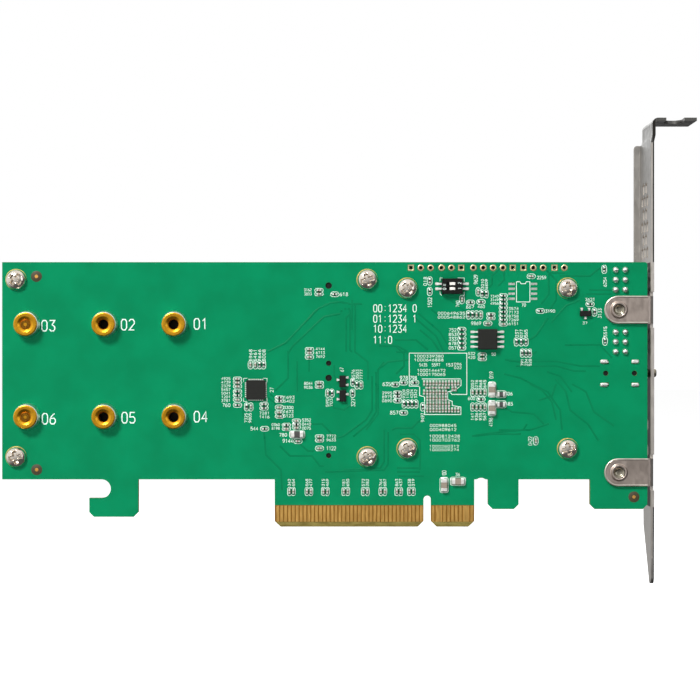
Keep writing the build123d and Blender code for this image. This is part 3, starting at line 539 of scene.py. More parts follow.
@dataclass(frozen=True)
class Finish:
    """One surface finish: its name, colours and how it shines."""

    name: str
    colour: str
    dark: str
    roughness: float = 0.4
    grain_mm: float = 0.5
    stretch: tuple = (1.0, 1.0, 1.0)
    bump: float = 0.1
    bump_mm: float = 0.02
    specular: float = 0.5
    roughness_spread: float = 0.08
    metallic: float = 0.0

    def material(self) -> bpy.types.Material:
        """The material, made once and shared."""
        made = bpy.data.materials.get(self.name)
        if not made:
            made = bpy.data.materials.new(self.name)
            made.use_nodes = True
            made.node_tree.nodes.clear()
            shader = add_node(made.node_tree, "BsdfPrincipled", self.inputs(made.node_tree))
            add_node(made.node_tree, "OutputMaterial", {"Surface": shader})
        return made

    def inputs(self, tree: Tree) -> dict:
        """Colour, roughness and relief from fine noise between the two colours.

        Args:
            tree: node tree.

        Returns:
            Input name of the surface shader to its value or socket.
        """
        noise = cloud(tree, self.grain_mm, 4.0, self.stretch)
        low, high = max(self.roughness - self.roughness_spread, 0.03), self.roughness + self.roughness_spread
        shades = ((0.3, self.dark), (0.7, self.colour))
        made = {
            "Base Color": add_node(tree, "ValToRGB", {0: noise}, stops=shades),
            "Roughness": add_node(tree, "MapRange", {0: noise, 1: 0.3, 2: 0.7, 3: low, 4: high}),
            "Metallic": self.metallic,
        }
        if not self.metallic:
            made["Specular IOR Level"] = self.specular
        if self.bump:
            relief = {"Height": noise, "Strength": self.bump, "Distance": self.bump_mm * MM}
            made["Normal"] = add_node(tree, "Bump", relief)
        return made


@dataclass(frozen=True)
class Metal(Finish):
    """A bare or plated metal."""

    metallic: float = 1.0


@dataclass(frozen=True)
class BoardFinish(Finish):
    """Glass-fibre laminate under green solder mask, with bare laminate at the cut edges and the contacts."""

    laminate: str = "#8F8248"
    laminate_dark: str = "#6F6230"
    gap: str = "#7C5418"
    edge_y: tuple = (SOLDER + 0.0004, PARTS - 0.0004)
    bare_x: tuple = (-39.7, 12.7)
    bare_z: tuple = (-1.0, CONTACT_TOP + 0.12)
    pour_mm: float = 9.0
    fibre_mm: float = 0.25
    ripple_mm: float = 1.2
    cut_roughness: float = 0.75

    def inputs(self, tree: Tree) -> dict:
        """Mask clouded by the copper below, laminate on the cut edges, a bare band at the contacts."""
        edge = inside(tree, Y=self.edge_y)
        bare = inside(tree, Z=self.bare_z, X=self.bare_x)
        pour = cloud(tree, self.pour_mm, 3.0)
        fibre = cloud(tree, self.fibre_mm, 2.0, (12, 1, 12))
        mask = add_node(tree, "ValToRGB", {0: pour}, stops=((0.35, self.dark), (0.65, self.colour)))
        shades = ((0.3, self.laminate_dark), (0.7, self.laminate))
        rough = add_node(tree, "ValToRGB", {0: fibre}, stops=shades)
        face = add_node(tree, "Mix", {0: bare, 6: mask, 7: self.gap}, 2, data_type="RGBA")
        relief = {"Height": cloud(tree, self.ripple_mm, 3.0), "Strength": 0.12, "Distance": 0.03 * MM}
        return {
            "Base Color": add_node(tree, "Mix", {0: edge, 6: face, 7: rough}, 2, data_type="RGBA"),
            "Roughness": add_node(tree, "MapRange", {0: edge, 3: self.roughness, 4: self.cut_roughness}),
            "Normal": add_node(tree, "Bump", relief),
            "Specular IOR Level": self.specular,
        }


@dataclass(frozen=True)
class SheetFinish(Metal):
    """Nickel sheet with painted shade: its inner face is painted black in the narrow crevice beside the
    board.
    """

    # Colour of painted shade: the near-black of the sheet's inner face in the crevice beside the board.
    crevice_shade: str = "#0A0908"
    grey: str = "#B6B2AD"
    # Colour of painted shade that darkens the sheet towards its top.
    upper: str = "#6C6B68"
    # The sheared edge's colour is brighter burnished metal and also a painted highlight where the edge
    # catches light.
    cut_edge_and_highlight: str = "#DAD4CC"
    # Colour of a painted shade line along the sheet's outer front edge, above and below the board.
    shaded: str = "#3A3835"
    inner_x: float = 57.52
    outer_x: float = 58.32
    # X where that painted shade line starts.
    shade_line_x: float = 57.98
    lip_y: float = 15.8
    cut_z: tuple = (-8.0, 99.0)
    crevice_z: tuple = (5.2, 68.2)
    far: float = 200.0

    def inputs(self, tree: Tree) -> dict:
        """Rolled sheet with painted light: painted shade makes it darker towards its top, the sheared edge is
        brighter and carries a painted highlight, a painted shade line runs along its outer edge and painted
        shade turns the crevice black.
        """
        made = super().inputs(tree)
        _, y, z = add_node(tree, "SeparateXYZ", {0: add_node(tree, "TexCoord", out="Object")}).node.outputs
        free = add_node(tree, "Math", {0: 1.0, 1: inside(tree, Z=self.crevice_z)}, operation="SUBTRACT")
        height = add_node(tree, "MapRange", {0: z, 1: 70 * MM, 2: 100 * MM})
        depth = add_node(tree, "MapRange", {0: y, 1: 8.0 * MM, 2: 3.6 * MM})
        # Painted shade: the inner face beside the board turns black and stops being metal, fading out away
        # from the board.
        dark = inside(tree, depth, X=(52.0, self.inner_x), Y=(-0.7, self.far), Z=self.crevice_z)
        # Mixed over the sheet: grey outside the board's height, painted shade towards the top, the brighter
        # cut edge with its painted highlight, a painted shade line on the outer edge and painted shade in the
        # crevice.
        for share, colour in (
            (free, self.grey),
            (inside(tree, height, Y=(-self.far, self.lip_y)), self.upper),
            (inside(tree, X=(self.inner_x + 0.06, self.outer_x), Z=self.cut_z), self.cut_edge_and_highlight),
            (inside(tree, free, X=(self.shade_line_x, self.shade_line_x + 0.7), Y=(-self.far, -0.8)), self.shaded),
            (dark, self.crevice_shade),
        ):
            links = {0: share, 6: made["Base Color"], 7: colour}
            made["Base Color"] = add_node(tree, "Mix", links, 2, data_type="RGBA")
        made["Metallic"] = add_node(tree, "Math", {0: 1.0, 1: dark}, operation="SUBTRACT")
        made["Specular IOR Level"] = 0.05
        return made


@dataclass(frozen=True)
class UndersideBlackAndShadeFinish(Metal):
    """Anodised aluminium whose underside carries a black interface film, which also serves as painted shade
    for what the nut bores show.
    """

    underside_black_and_shade: str = "#101010"
    underside_black_and_shade_y: tuple = (6.2, 6.33)

    def inputs(self, tree: Tree) -> dict:
        """Satin metal, black where the face lies at the film's depth; that black also paints the shade seen
        through the nut bores.
        """
        made = super().inputs(tree)
        black_and_shade_share = inside(tree, Y=self.underside_black_and_shade_y)
        links = {0: black_and_shade_share, 6: made["Base Color"], 7: self.underside_black_and_shade}
        made["Base Color"] = add_node(tree, "Mix", links, 2, data_type="RGBA")
        made["Metallic"] = add_node(tree, "Math", {0: 1.0, 1: black_and_shade_share}, operation="SUBTRACT")
        return made


@dataclass(frozen=True)
class ClearFinish(Finish):
    """Cast clear epoxy of the status lamps, slightly milky."""

    transmission: float = 0.55

    def inputs(self, tree: Tree) -> dict:
        """Milky noise over a see-through shader."""
        return {**super().inputs(tree), "Transmission Weight": self.transmission, "IOR": 1.53}


# Liquid photo-imaged solder mask, cured glossy: even deep green, with softly darker and paler copper areas.
MASK = BoardFinish("solder_mask_green", "#008758", "#007E51", roughness=0.34, specular=0.1)
# Mask over copper tracks: the same green, a little darker along each track's edge.
TRACK = Finish("masked_copper", "#007B4F", "#007349", roughness=0.34, grain_mm=4.0, bump=0.0, specular=0.1)
# Screen-printed epoxy ink, matt and slightly greenish where the mask shows through.
INK = Finish("printed_ink", "#F2FFFA", "#E2F8EE", roughness=0.6, grain_mm=0.4, bump=0.15, bump_mm=0.01)
# Hard gold over nickel on the edge contacts: warm yellow, fine insertion scratches along Z.
GOLD = Metal("hard_gold", "#F4C470", "#E0AE5E", roughness=0.4, grain_mm=0.25, stretch=(1, 1, 10), bump=0.06)
# Immersion gold on the pads and rings: paler and more even.
PAD_GOLD = Metal("immersion_gold", "#F6DC90", "#E6C46E", roughness=0.4, grain_mm=0.3, bump=0.08)
# Reflowed tin solder: bright, soft lumps.
SOLDER_TIN = Metal("reflowed_tin", "#FCFCF8", "#DEDED9", roughness=0.34, grain_mm=0.5, bump=0.3, bump_mm=0.06)
# Tin-plated lead frames: satin.
LEAD = Metal("tinned_lead", "#FCFCF8", "#E8E8E3", roughness=0.52, grain_mm=0.3, bump=0.1)
# Nickel-plated screws: mirror-like with a warm cast and small dents.
SCREW = Metal(
    "bright_nickel", "#F2EADF", "#DDD2C4", roughness=0.13, grain_mm=1.4, bump=0.2, bump_mm=0.08,
    roughness_spread=0.04
)
# Burnished steel of the plunger: darker than the screws.
PIN = Metal("burnished_steel", "#B4AE9E", "#8F8876", roughness=0.22, grain_mm=0.4, bump=0.1)
# Turned brass: deep yellow with fine turning marks.
BRASS = Metal(
    "turned_brass", "#EAAE30", "#DC9E24", roughness=0.27, grain_mm=0.9, bump=0.04, roughness_spread=0.03
)
# Darker brass of the stud ends that sit in the nuts' bores.
DARKER_BRASS = Metal("darker_brass", "#A5742C", "#744A16", roughness=0.35, grain_mm=0.4, bump=0.1)
# Nickel-plated steel sheet, rolled: warm grey, softly clouded.
# Its finish also paints light: black shade in the crevice, shade towards the top, a shade line on the outer
# edge and a highlight on the cut edge.
SHEET = SheetFinish(
    "nickel_sheet", "#C6B8AE", "#B6A89E", roughness=0.38, grain_mm=1.1, stretch=(1, 1, 2), bump=0.06
)
# Burnished cut edge of the sheet: brighter than its faces, partly as burnished metal and partly as a painted
# highlight of the light the edge catches.
EDGE_BURNISH_AND_HIGHLIGHT = Metal("edge_burnish_and_painted_highlight", "#DCD6CA", "#CFC8BC", roughness=0.34, grain_mm=2.0, bump=0.0)
# Extruded aluminium, clear anodised: pale satin grey with extrusion lines along X.
ANODISED = Metal(
    "clear_anodised_aluminium", "#C3C6CA", "#A9ADB2", roughness=0.38, grain_mm=0.2, stretch=(40, 1, 1),
    bump=0.1
)
# The drive heatsink: the same metal with a black interface film on its underside, whose black also stands as
# painted shade in the nut bores.
SINK_BLACK_AND_SHADE = UndersideBlackAndShadeFinish(
    "anodised_aluminium_underside_black_and_shade", "#C3C6CA", "#A9ADB2", roughness=0.38, grain_mm=0.2, stretch=(40, 1, 1),
    bump=0.1
)
# Glass-filled black plastic, moulded: matt with a slight grain.
BLACK_PLASTIC = Finish(
    "glass_filled_nylon", "#1B1B1A", "#121211", roughness=0.5, grain_mm=0.3, bump=0.2, specular=0.2
)
# Chip moulding compound: dark warm grey, finely sandy.
MOULDING = Finish(
    "moulding_compound", "#242522", "#1C1D1B", roughness=0.62, grain_mm=0.12, bump=0.35, bump_mm=0.02,
    specular=0.2
)
# Switch housing: black, semi-gloss.
SWITCH_BLACK = Finish(
    "switch_housing_black", "#181815", "#0F0F0D", roughness=0.36, grain_mm=0.4, bump=0.12, specular=0.2
)
# Glass film over a chip resistor: glossy black.
RESISTOR = Finish(
    "resistor_glass", "#14120F", "#0A0908", roughness=0.25, grain_mm=0.2, bump=0.05, specular=0.25
)
# Fired ceramic of a chip capacitor: tan brown, matt.
CERAMIC = Finish("capacitor_ceramic", "#9C9284", "#85796B", roughness=0.55, grain_mm=0.15, bump=0.15)
# Sintered ferrite: dark grey.
FERRITE = Finish("sintered_ferrite", "#4C4B4A", "#3A3938", roughness=0.5, grain_mm=0.15, bump=0.2)
# Pressed iron powder of the inductors.
IRON_POWDER = Finish("pressed_iron_powder", "#55585B", "#3F4245", roughness=0.7, grain_mm=0.15, bump=0.4)
# White moulded slider.
SLIDER = Finish("slider_white_nylon", "#F6F4EE", "#E6E3DA", roughness=0.45, grain_mm=0.3, bump=0.05)
# Filled silicone pad.
SILICONE = Finish("filled_silicone", "#8FA0AA", "#7C8C96", roughness=0.85, grain_mm=0.2, bump=0.3)
# Cast epoxy lamp bodies.
EPOXY = ClearFinish("milky_epoxy", "#E4EFE6", "#D4E4D8", roughness=0.2, grain_mm=0.8, bump=0.05)
# Painted shade in the header holes: a dark brown fill that stands for the shadow seen through the open holes.
HOLE_SHADE = Finish("painted_hole_shade", "#120C06", "#0A0703", roughness=0.6, grain_mm=0.3, bump=0.2, specular=0.1)
# Bare laminate round the header pads, where the mask stands back.
CLEARED = Finish(
    "cleared_laminate", "#8A6A36", "#6B4C22", roughness=0.6, grain_mm=0.3, bump=0.1, specular=0.2
)
# Pale gold of the header pads.
PALE_GOLD = Metal("pale_gold", "#FFF8D2", "#F2E6B0", roughness=0.36, grain_mm=0.3, bump=0.08)
# Drilled copper target under mask clearance.
COPPER = Metal("bare_copper", "#FAC46C", "#EFAA50", roughness=0.4, grain_mm=0.3, bump=0.1)
# Bare laminate without mask.
BARE = Finish("bare_laminate", "#463E24", "#362F1B", roughness=0.6, grain_mm=0.3, bump=0.2)

STROKES = {
    "0": [[(0.15, 0), (0.45, 0), (0.6, 0.2), (0.6, 0.8), (0.45, 1), (0.15, 1), (0, 0.8), (0, 0.2),
           (0.15, 0)]],
    "1": [[(0.08, 0.78), (0.33, 1), (0.33, 0)]],
    "2": [[(0, 0.82), (0.15, 1), (0.45, 1), (0.6, 0.8), (0.6, 0.6), (0, 0), (0.6, 0)]],
    "3": [[(0, 1), (0.6, 1), (0.3, 0.6), (0.6, 0.38), (0.6, 0.18), (0.45, 0), (0.15, 0), (0, 0.16)]],
    "4": [[(0.46, 0), (0.46, 1), (0, 0.32), (0.62, 0.32)]],
    "5": [[(0.58, 1), (0.06, 1), (0.02, 0.56), (0.42, 0.6), (0.6, 0.42), (0.6, 0.18), (0.45, 0), (0.12, 0),
           (0, 0.12)]],
    "6": [[(0.5, 1), (0.14, 0.72), (0, 0.42), (0, 0.16), (0.15, 0), (0.45, 0), (0.6, 0.18), (0.6, 0.4),
           (0.45, 0.56), (0.06, 0.5)]],
    "7": [[(0, 1), (0.6, 1), (0.22, 0)]],
    "8": [[(0.3, 0.53), (0.06, 0.68), (0.06, 0.88), (0.2, 1), (0.4, 1), (0.54, 0.88), (0.54, 0.68),
           (0.3, 0.53), (0.02, 0.36), (0, 0.14), (0.15, 0), (0.45, 0), (0.6, 0.14), (0.58, 0.36),
           (0.3, 0.53)]],
    "9": [[(0.1, 0), (0.46, 0.28), (0.6, 0.58), (0.6, 0.84), (0.45, 1), (0.15, 1), (0, 0.82), (0, 0.6),
           (0.15, 0.44), (0.54, 0.5)]],
    ":": [[(0.25, 0.2), (0.35, 0.2)], [(0.25, 0.75), (0.35, 0.75)]],
    "N": [[(0, 0), (0, 1), (0.6, 0), (0.6, 1)]],
    " ": [],
}


@dataclass
class Printing:
    """White printing: numbers, part outlines and area lines."""

    height: float = 0.045
    finest: float = 0.062
    strips: dict = field(default_factory=lambda: {"numbers": [], "outlines": []})
    counter: int = 7

    def stroke(self, group: str, path: np.ndarray, width: float) -> None:
        """Adds one printed line.

        Args:
            group: piece it belongs to.
            path: (n, 2) points in (X, Z).
            width: line width.
        """
        self.strips[group].append(ribbon(path, width, SOLDER, SOLDER - self.height))

    def text(self, words: str, origin: tuple, size: tuple, width: float, turn: Turn = Turn.LEVEL) -> None:
        """Prints characters in a row.

        Args:
            words: characters with strokes.
            origin: (X, Z) of the lower left corner as it is read.
            size: (pitch, height) of the characters.
            width: line width.
            turn: reading direction.
        """
        pitch, height = size
        for k, letter in enumerate(words):
            for stroke in STROKES[letter]:
                line = np.asarray(stroke, float) * (pitch / 0.9, height) + (k * pitch, 0)
                if turn is Turn.UPWARD:
                    line = np.stack([-line[:, 1], line[:, 0]], 1)
                self.stroke("numbers", line + origin, width)

    def next_number(self, digits: int) -> str:
        """A plain number with the given count of digits, different each time."""
        self.counter = (self.counter * 7919 + 104729) % 1000003
        return str(self.counter + 10**9)[-digits:]

    def block(self, box: tuple, rows: int, columns: int, turn: Turn = Turn.LEVEL) -> None:
        """Fills a picture rectangle with lines of small numbers.

        Args:
            box: (left, top, right, bottom) in picture points.
            rows: lines of text.
            columns: digits in each line.
            turn: reading direction.
        """
        (left, top), (right, bottom) = from_photo([box[:2], box[2:]])
        across, along = (right - left, top - bottom) if turn is Turn.LEVEL else (top - bottom, right - left)
        pitch, step = across / columns, along / rows
        height = step * (0.64 if rows > 1 else 0.88)
        width = max(min(0.11, 0.14 * height, 0.16 * pitch), self.finest)
        for row in range(rows):
            if turn is Turn.LEVEL:
                origin = (left, top - (row + 1) * step + (step - height) / 2)
            else:
                origin = (left + (row + 1) * step - (step - height) / 2, bottom)
            self.text(self.next_number(columns), origin, (pitch, height), width, turn)

    def build(self) -> None:
        """Makes one piece for each group of lines."""
        for name, strips in self.strips.items():
            add_piece(f"printed_{name}", strips, INK, angle=None)


LEVEL_BLOCKS = (
    (304.3, 287.9, 312.0, 296.0, 2, 4),
    (339.8, 292.6, 348.9, 296.2, 1, 3),
    (316.0, 347.1, 325.4, 358.5, 3, 4),
    (221.5, 376.8, 231.0, 402.5, 7, 4),
    (222.6, 403.4, 231.0, 407.0, 1, 3),
    (283.8, 395.4, 295.2, 403.2, 2, 4),
    (283.8, 405.5, 294.0, 418.0, 3, 4),
    (302.3, 418.0, 311.4, 430.3, 3, 4),
    (271.9, 422.9, 280.2, 430.3, 2, 4),
    (279.5, 433.2, 287.6, 436.7, 1, 3),
    (282.9, 439.0, 293.6, 443.0, 1, 4),
    (250.8, 426.9, 258.8, 430.5, 1, 3),
    (259.5, 411.2, 270.2, 418.9, 2, 4),
    (304.3, 381.4, 313.0, 389.4, 2, 4),
    (326.7, 434.3, 336.5, 442.0, 2, 4),
    (326.7, 446.3, 336.5, 450.4, 1, 4),
    (382.7, 382.3, 391.4, 386.1, 1, 3),
    (382.3, 391.2, 392.7, 402.8, 3, 4),
    (400.1, 376.0, 408.6, 380.0, 1, 3),
    (409.9, 376.0, 417.5, 380.0, 1, 3),
    (390.3, 410.8, 399.0, 414.6, 1, 3),
    (466.3, 305.5, 474.7, 308.6, 1, 3),
    (477.8, 305.3, 485.5, 308.2, 1, 3),
    (490.6, 294.6, 498.8, 305.3, 3, 4),
    (508.7, 306.8, 519.2, 325.7, 5, 4),
    (537.2, 275.9, 546.7, 279.3, 1, 4),
    (521.6, 303.6, 526.5, 306.8, 1, 2),
    (545.4, 309.6, 555.6, 312.7, 1, 4),
    (438.0, 311.4, 465.8, 319.1, 2, 9),
    (471.4, 321.6, 481.6, 325.2, 1, 4),
    (449.0, 327.8, 457.1, 350.2, 5, 3),
    (468.2, 351.7, 475.7, 359.4, 2, 3),
    (491.6, 352.8, 496.4, 355.8, 1, 2),
    (414.3, 354.3, 465.3, 361.9, 2, 17),
    (419.4, 363.3, 427.6, 366.5, 1, 4),
    (432.0, 363.3, 440.6, 366.5, 1, 4),
    (445.9, 363.3, 453.6, 366.5, 1, 3),
    (454.3, 362.4, 462.2, 369.6, 2, 3),
    (417.3, 368.6, 449.0, 376.4, 2, 11),
    (505.3, 392.1, 513.1, 395.6, 1, 3),
    (505.6, 402.1, 513.5, 405.6, 1, 3),
    (468.2, 396.7, 475.6, 400.1, 1, 3),
    (430.1, 423.6, 457.1, 431.6, 2, 9),
    (429.4, 434.3, 460.7, 442.1, 2, 10),
    (429.4, 444.6, 471.9, 451.6, 2, 14),
    (455.6, 473.0, 460.4, 476.2, 1, 2),
    (585.3, 298.1, 595.5, 301.0, 1, 4),
    (582.8, 321.7, 587.9, 324.4, 1, 2),
)
UPRIGHT_BLOCKS = (
    (248.5, 348.7, 266.2, 361.2, 4, 4),
    (339.8, 367.0, 343.8, 371.6, 1, 2),
    (351.2, 369.0, 363.3, 379.3, 3, 4),
    (423.5, 276.2, 426.9, 285.5, 1, 3),
    (427.7, 296.9, 432.0, 307.4, 1, 4),
    (269.9, 386.9, 273.6, 392.1, 1, 2),
    (244.0, 412.6, 252.0, 422.5, 2, 4),
    (325.4, 397.9, 333.1, 406.5, 2, 3),
    (351.2, 397.9, 355.2, 406.5, 1, 3),
    (402.1, 388.9, 417.5, 398.1, 4, 4),
    (420.8, 412.6, 424.5, 421.8, 1, 4),
    (473.7, 274.2, 477.8, 284.1, 1, 4),
    (480.6, 278.6, 488.3, 288.8, 2, 4),
    (514.8, 329.0, 528.1, 336.9, 3, 3),
    (520.2, 358.4, 532.1, 365.7, 3, 3),
    (455.9, 300.2, 459.3, 306.9, 1, 3),
    (489.3, 371.0, 493.4, 378.3, 1, 3),
    (470.4, 379.5, 486.7, 387.3, 4, 3),
    (470.4, 412.3, 486.7, 420.2, 4, 3),
    (488.8, 417.2, 493.0, 426.3, 1, 4),
    (528.1, 436.1, 532.2, 445.3, 1, 4),
    (442.0, 470.0, 446.4, 474.9, 1, 2),
    (603.2, 276.5, 606.6, 286.5, 1, 4),
    (603.6, 326.0, 607.0, 336.5, 1, 4),
    (597.9, 308.0, 601.6, 318.0, 1, 4),
)
CONTACT_LABELS = (291.4, 308.9, 325.3, 345.7, 365.3, 382.8, 398.7, 411.3)
NUT_LABELS = (
    ("03", 41.9, 331.0),
    ("02", 121.4, 330.0),
    ("01", 194.2, 329.2),
    ("06", 42.4, 424.0),
    ("05", 122.0, 423.0),
    ("04", 194.2, 422.0),
)
SWITCH_MARKS = (("0", 4.72, 61.13), ("N", 4.72, 62.1), ("2", 8.62, 62.58), ("1", 8.62, 61.24))
LEGEND = (("00:1234 0", 312.0), ("01:1234 1", 322.4), ("10:1234", 332.4), ("11:0", 343.5))
AREA_LINES = (
    ((409.2, 353.2), (466.8, 353.2), (466.8, 394.5), (452.2, 394.5), (450.1, 392.7)),
    ((409.2, 353.2), (409.2, 386.2), (419.2, 386.2)),
    ((422.0, 379.0), (460.5, 379.0)),
    ((461.0, 380.0), (461.0, 385.5), (455.5, 390.0), (447.6, 392.0), (447.6, 399.6), (452.2, 401.4),
     (452.2, 405.6), (460.8, 407.0), (460.8, 414.6), (424.6, 414.6), (424.6, 397.0), (419.6, 395.6),
     (419.6, 387.0)),
    ((519.8, 281.8), (516.4, 281.8), (516.4, 302.0), (529.9, 302.0), (529.9, 281.8), (526.4, 281.8),
     (525.3, 283.8), (521.0, 283.8), (519.8, 281.8)),
)
CORNER_LINES = (
    ((440.0, 281.4), (440.0, 278.0), (442.4, 278.0)),
    ((457.6, 278.0), (464.2, 278.0), (464.2, 281.4)),
    ((440.0, 291.4), (440.0, 293.8), (441.6, 295.6)),
    ((464.2, 291.8), (464.2, 295.2), (462.4, 295.4)),
    ((243.6, 382.0), (243.6, 378.4), (247.2, 378.4)),
    ((263.4, 378.4), (267.0, 378.4), (267.0, 382.0)),
    ((243.6, 397.8), (243.6, 401.4), (247.2, 401.4)),
    ((263.4, 401.4), (267.0, 401.4), (267.0, 397.8)),
)


@dataclass
class SolderSidePrint:
    """Everything printed on the solder side."""

    ink: Printing = field(default_factory=Printing)
    large_chip: float = 1.5

    def add_numbers(self) -> None:
        """Part numbers, drive place numbers and the switch legend."""
        for boxes, turn in ((LEVEL_BLOCKS, Turn.LEVEL), (UPRIGHT_BLOCKS, Turn.UPWARD)):
            for *box, rows, columns in boxes:
                self.ink.block(tuple(box), rows, columns, turn)
        for centre in CONTACT_LABELS:
            self.ink.block((centre - 4.0, 478.4, centre + 4.0, 486.0), 2, 3, Turn.UPWARD)
        for words, px, py in NUT_LABELS:
            self.ink.text(words, tuple(from_photo((px, py))[0]), (2.0, 2.7), 0.27)
        for words, py in LEGEND:
            self.ink.text(words, tuple(from_photo((373.6, py))[0]), (1.27, 1.85), 0.19)

    def add_outlines(self) -> None:
        """Capsules round the small chips and the area lines."""
        for paths, width in ((AREA_LINES, 0.16), (CORNER_LINES, 0.11)):
            for path in paths:
                self.ink.stroke("outlines", from_photo(path), width)
        nodes = ("chip_resistors", "chip_capacitors", "bulk_capacitors", "ferrite_beads")
        centres, sizes = (np.concatenate(part) for part in zip(*map(chip_places, nodes)))
        for centre, size in zip(centres, sizes):
            flat = size[0] >= size[2]
            length, width = (size[0], size[2]) if flat else (size[2], size[0])
            large = length > self.large_chip
            offsets = np.abs(centres - centre)
            across, along = (offsets[:, 2], offsets[:, 0]) if flat else (offsets[:, 0], offsets[:, 2])
            near = across[(across > 0.05) & (along < length)]
            room = min(near.min() if len(near) else 9.0, width + (0.55 if large else 0.72))
            margin, radius = (0.75, 0.55) if large else (1.2, 9.0)
            capsule = rounded_outline(length + margin, max(room, width + 0.3), radius)
            if not flat:
                capsule = capsule[:, ::-1]
            self.ink.stroke("outlines", capsule + centre[[0, 2]], 0.12)

    def build(self) -> None:
        """Prints it all."""
        self.add_numbers()
        self.add_outlines()
        self.ink.build()


TRACKS = (
    ((340, 302), (330, 303.5), (318, 309), (286, 343), (268, 352)),
    ((340, 314), (324, 317), (292, 347), (288, 354), (288, 378), (276, 390)),
    ((264, 432), (266, 455), (281, 470), (282, 490)),
    ((362, 304), (356, 304), (350, 304), (340, 302)),
    ((350, 310), (350, 350), (352, 352)),
    ((355, 304), (355, 352), (368, 362), (368, 380)),
    ((309, 360), (309, 372)),
    ((297, 362), (297, 392)),
    ((415, 318), (436, 336), (444, 352)),
    ((419, 314), (440, 332), (452, 352)),
    ((396, 340), (416, 340), (428, 350)),
    ((380, 346), (398, 346), (408, 352)),
    ((372, 376), (372, 410), (366, 420), (344, 436), (330, 440)),
    ((376, 372), (376, 412), (368, 424), (354, 436)),
    ((380, 368), (388, 362), (408, 360)),
    ((384, 430), (384, 462), (380, 468), (345, 470)),
    ((388, 432), (388, 464), (384, 470), (326, 472)),
    ((392, 430), (396, 428), (412, 428), (420, 420)),
    ((400, 434), (414, 434), (420, 440), (420, 470)),
    ((472, 436), (500, 432), (523, 430), (527, 424)),
    ((398, 468), (420, 468)),
    ((398, 472), (420, 472)),
    ((398, 476), (424, 476)),
    ((330, 400), (334, 408), (344, 410), (352, 404)),
    ((304, 424), (322, 424), (334, 436)),
    ((280, 446), (290, 456), (312, 456), (320, 466), (324, 466)),
    ((300, 444), (308, 451), (314, 451)),
    ((268, 398), (276, 404), (276, 410)),
    ((270, 394), (282, 404)),
    ((243, 408), (243, 416), (254, 426)),
    ((560, 276), (590, 276), (600, 268)),
    ((590, 290), (612, 290)),
    ((586, 294), (612, 294)),
    ((552, 322), (566, 306), (580, 300)),
    ((566, 345), (600, 345), (612, 358)),
    ((556, 380), (566, 392), (570, 410), (588, 424), (598, 440)),
    ((548, 372), (560, 376), (572, 392)),
    ((500, 430), (530, 430), (548, 424)),
    ((476, 436), (492, 434), (520, 434)),
    ((520, 346), (536, 336), (548, 318)),
    ((506, 360), (520, 362), (536, 352)),
    ((540, 400), (552, 396), (556, 384)),
    ((340, 386), (334, 376), (334, 366)),
    ((450, 300), (466, 312), (466, 316)),
    ((432, 310), (440, 316)),
    ((498, 286), (504, 280), (504, 272)),
    ((546, 270), (556, 280), (556, 300), (548, 312)),
    ((565, 273), (548.7, 273), (548.7, 294.6), (541, 304)),
    ((488, 288), (492, 284), (492, 276), (500, 268)),
    ((509, 361.4), (557, 361.4), (580, 366), (600, 366)),
    ((516, 366), (556, 366), (574, 371), (586, 371)),
    ((504, 374), (520, 378), (548, 392), (560, 410), (562, 430)),
    ((530, 384), (542, 390), (552, 402), (556, 420)),
    ((572, 384), (586, 392), (594, 412), (614, 426)),
    ((500, 404), (512, 412), (534, 414), (544, 424)),
    ((352, 330), (352, 300)),
    ((346, 352), (346, 318), (350, 314)),
    ((396, 346), (404, 354), (404, 366), (396, 374)),
    ((384, 362), (378, 370), (378, 414), (366, 430)),
    ((396, 352), (406, 352), (410, 356)),
    ((420, 330), (432, 340), (440, 352)),
)
VIAS = (
    (352, 305.5), (349, 309), (341.5, 311), (345, 309), (297, 362), (309, 361), (288, 352), (268, 352),
    (276, 390), (415, 318), (419, 314), (396, 340), (380, 346), (500, 430), (476, 436), (548, 424),
    (540, 400), (520, 434), (566, 345), (552, 322), (536, 352), (506, 360), (432, 310), (466, 318),
    (398, 468), (398, 472), (345, 470), (326, 472), (330, 440), (354, 436), (334, 366), (322, 424),
    (556, 380), (548, 372), (598, 440), (590, 290),
)


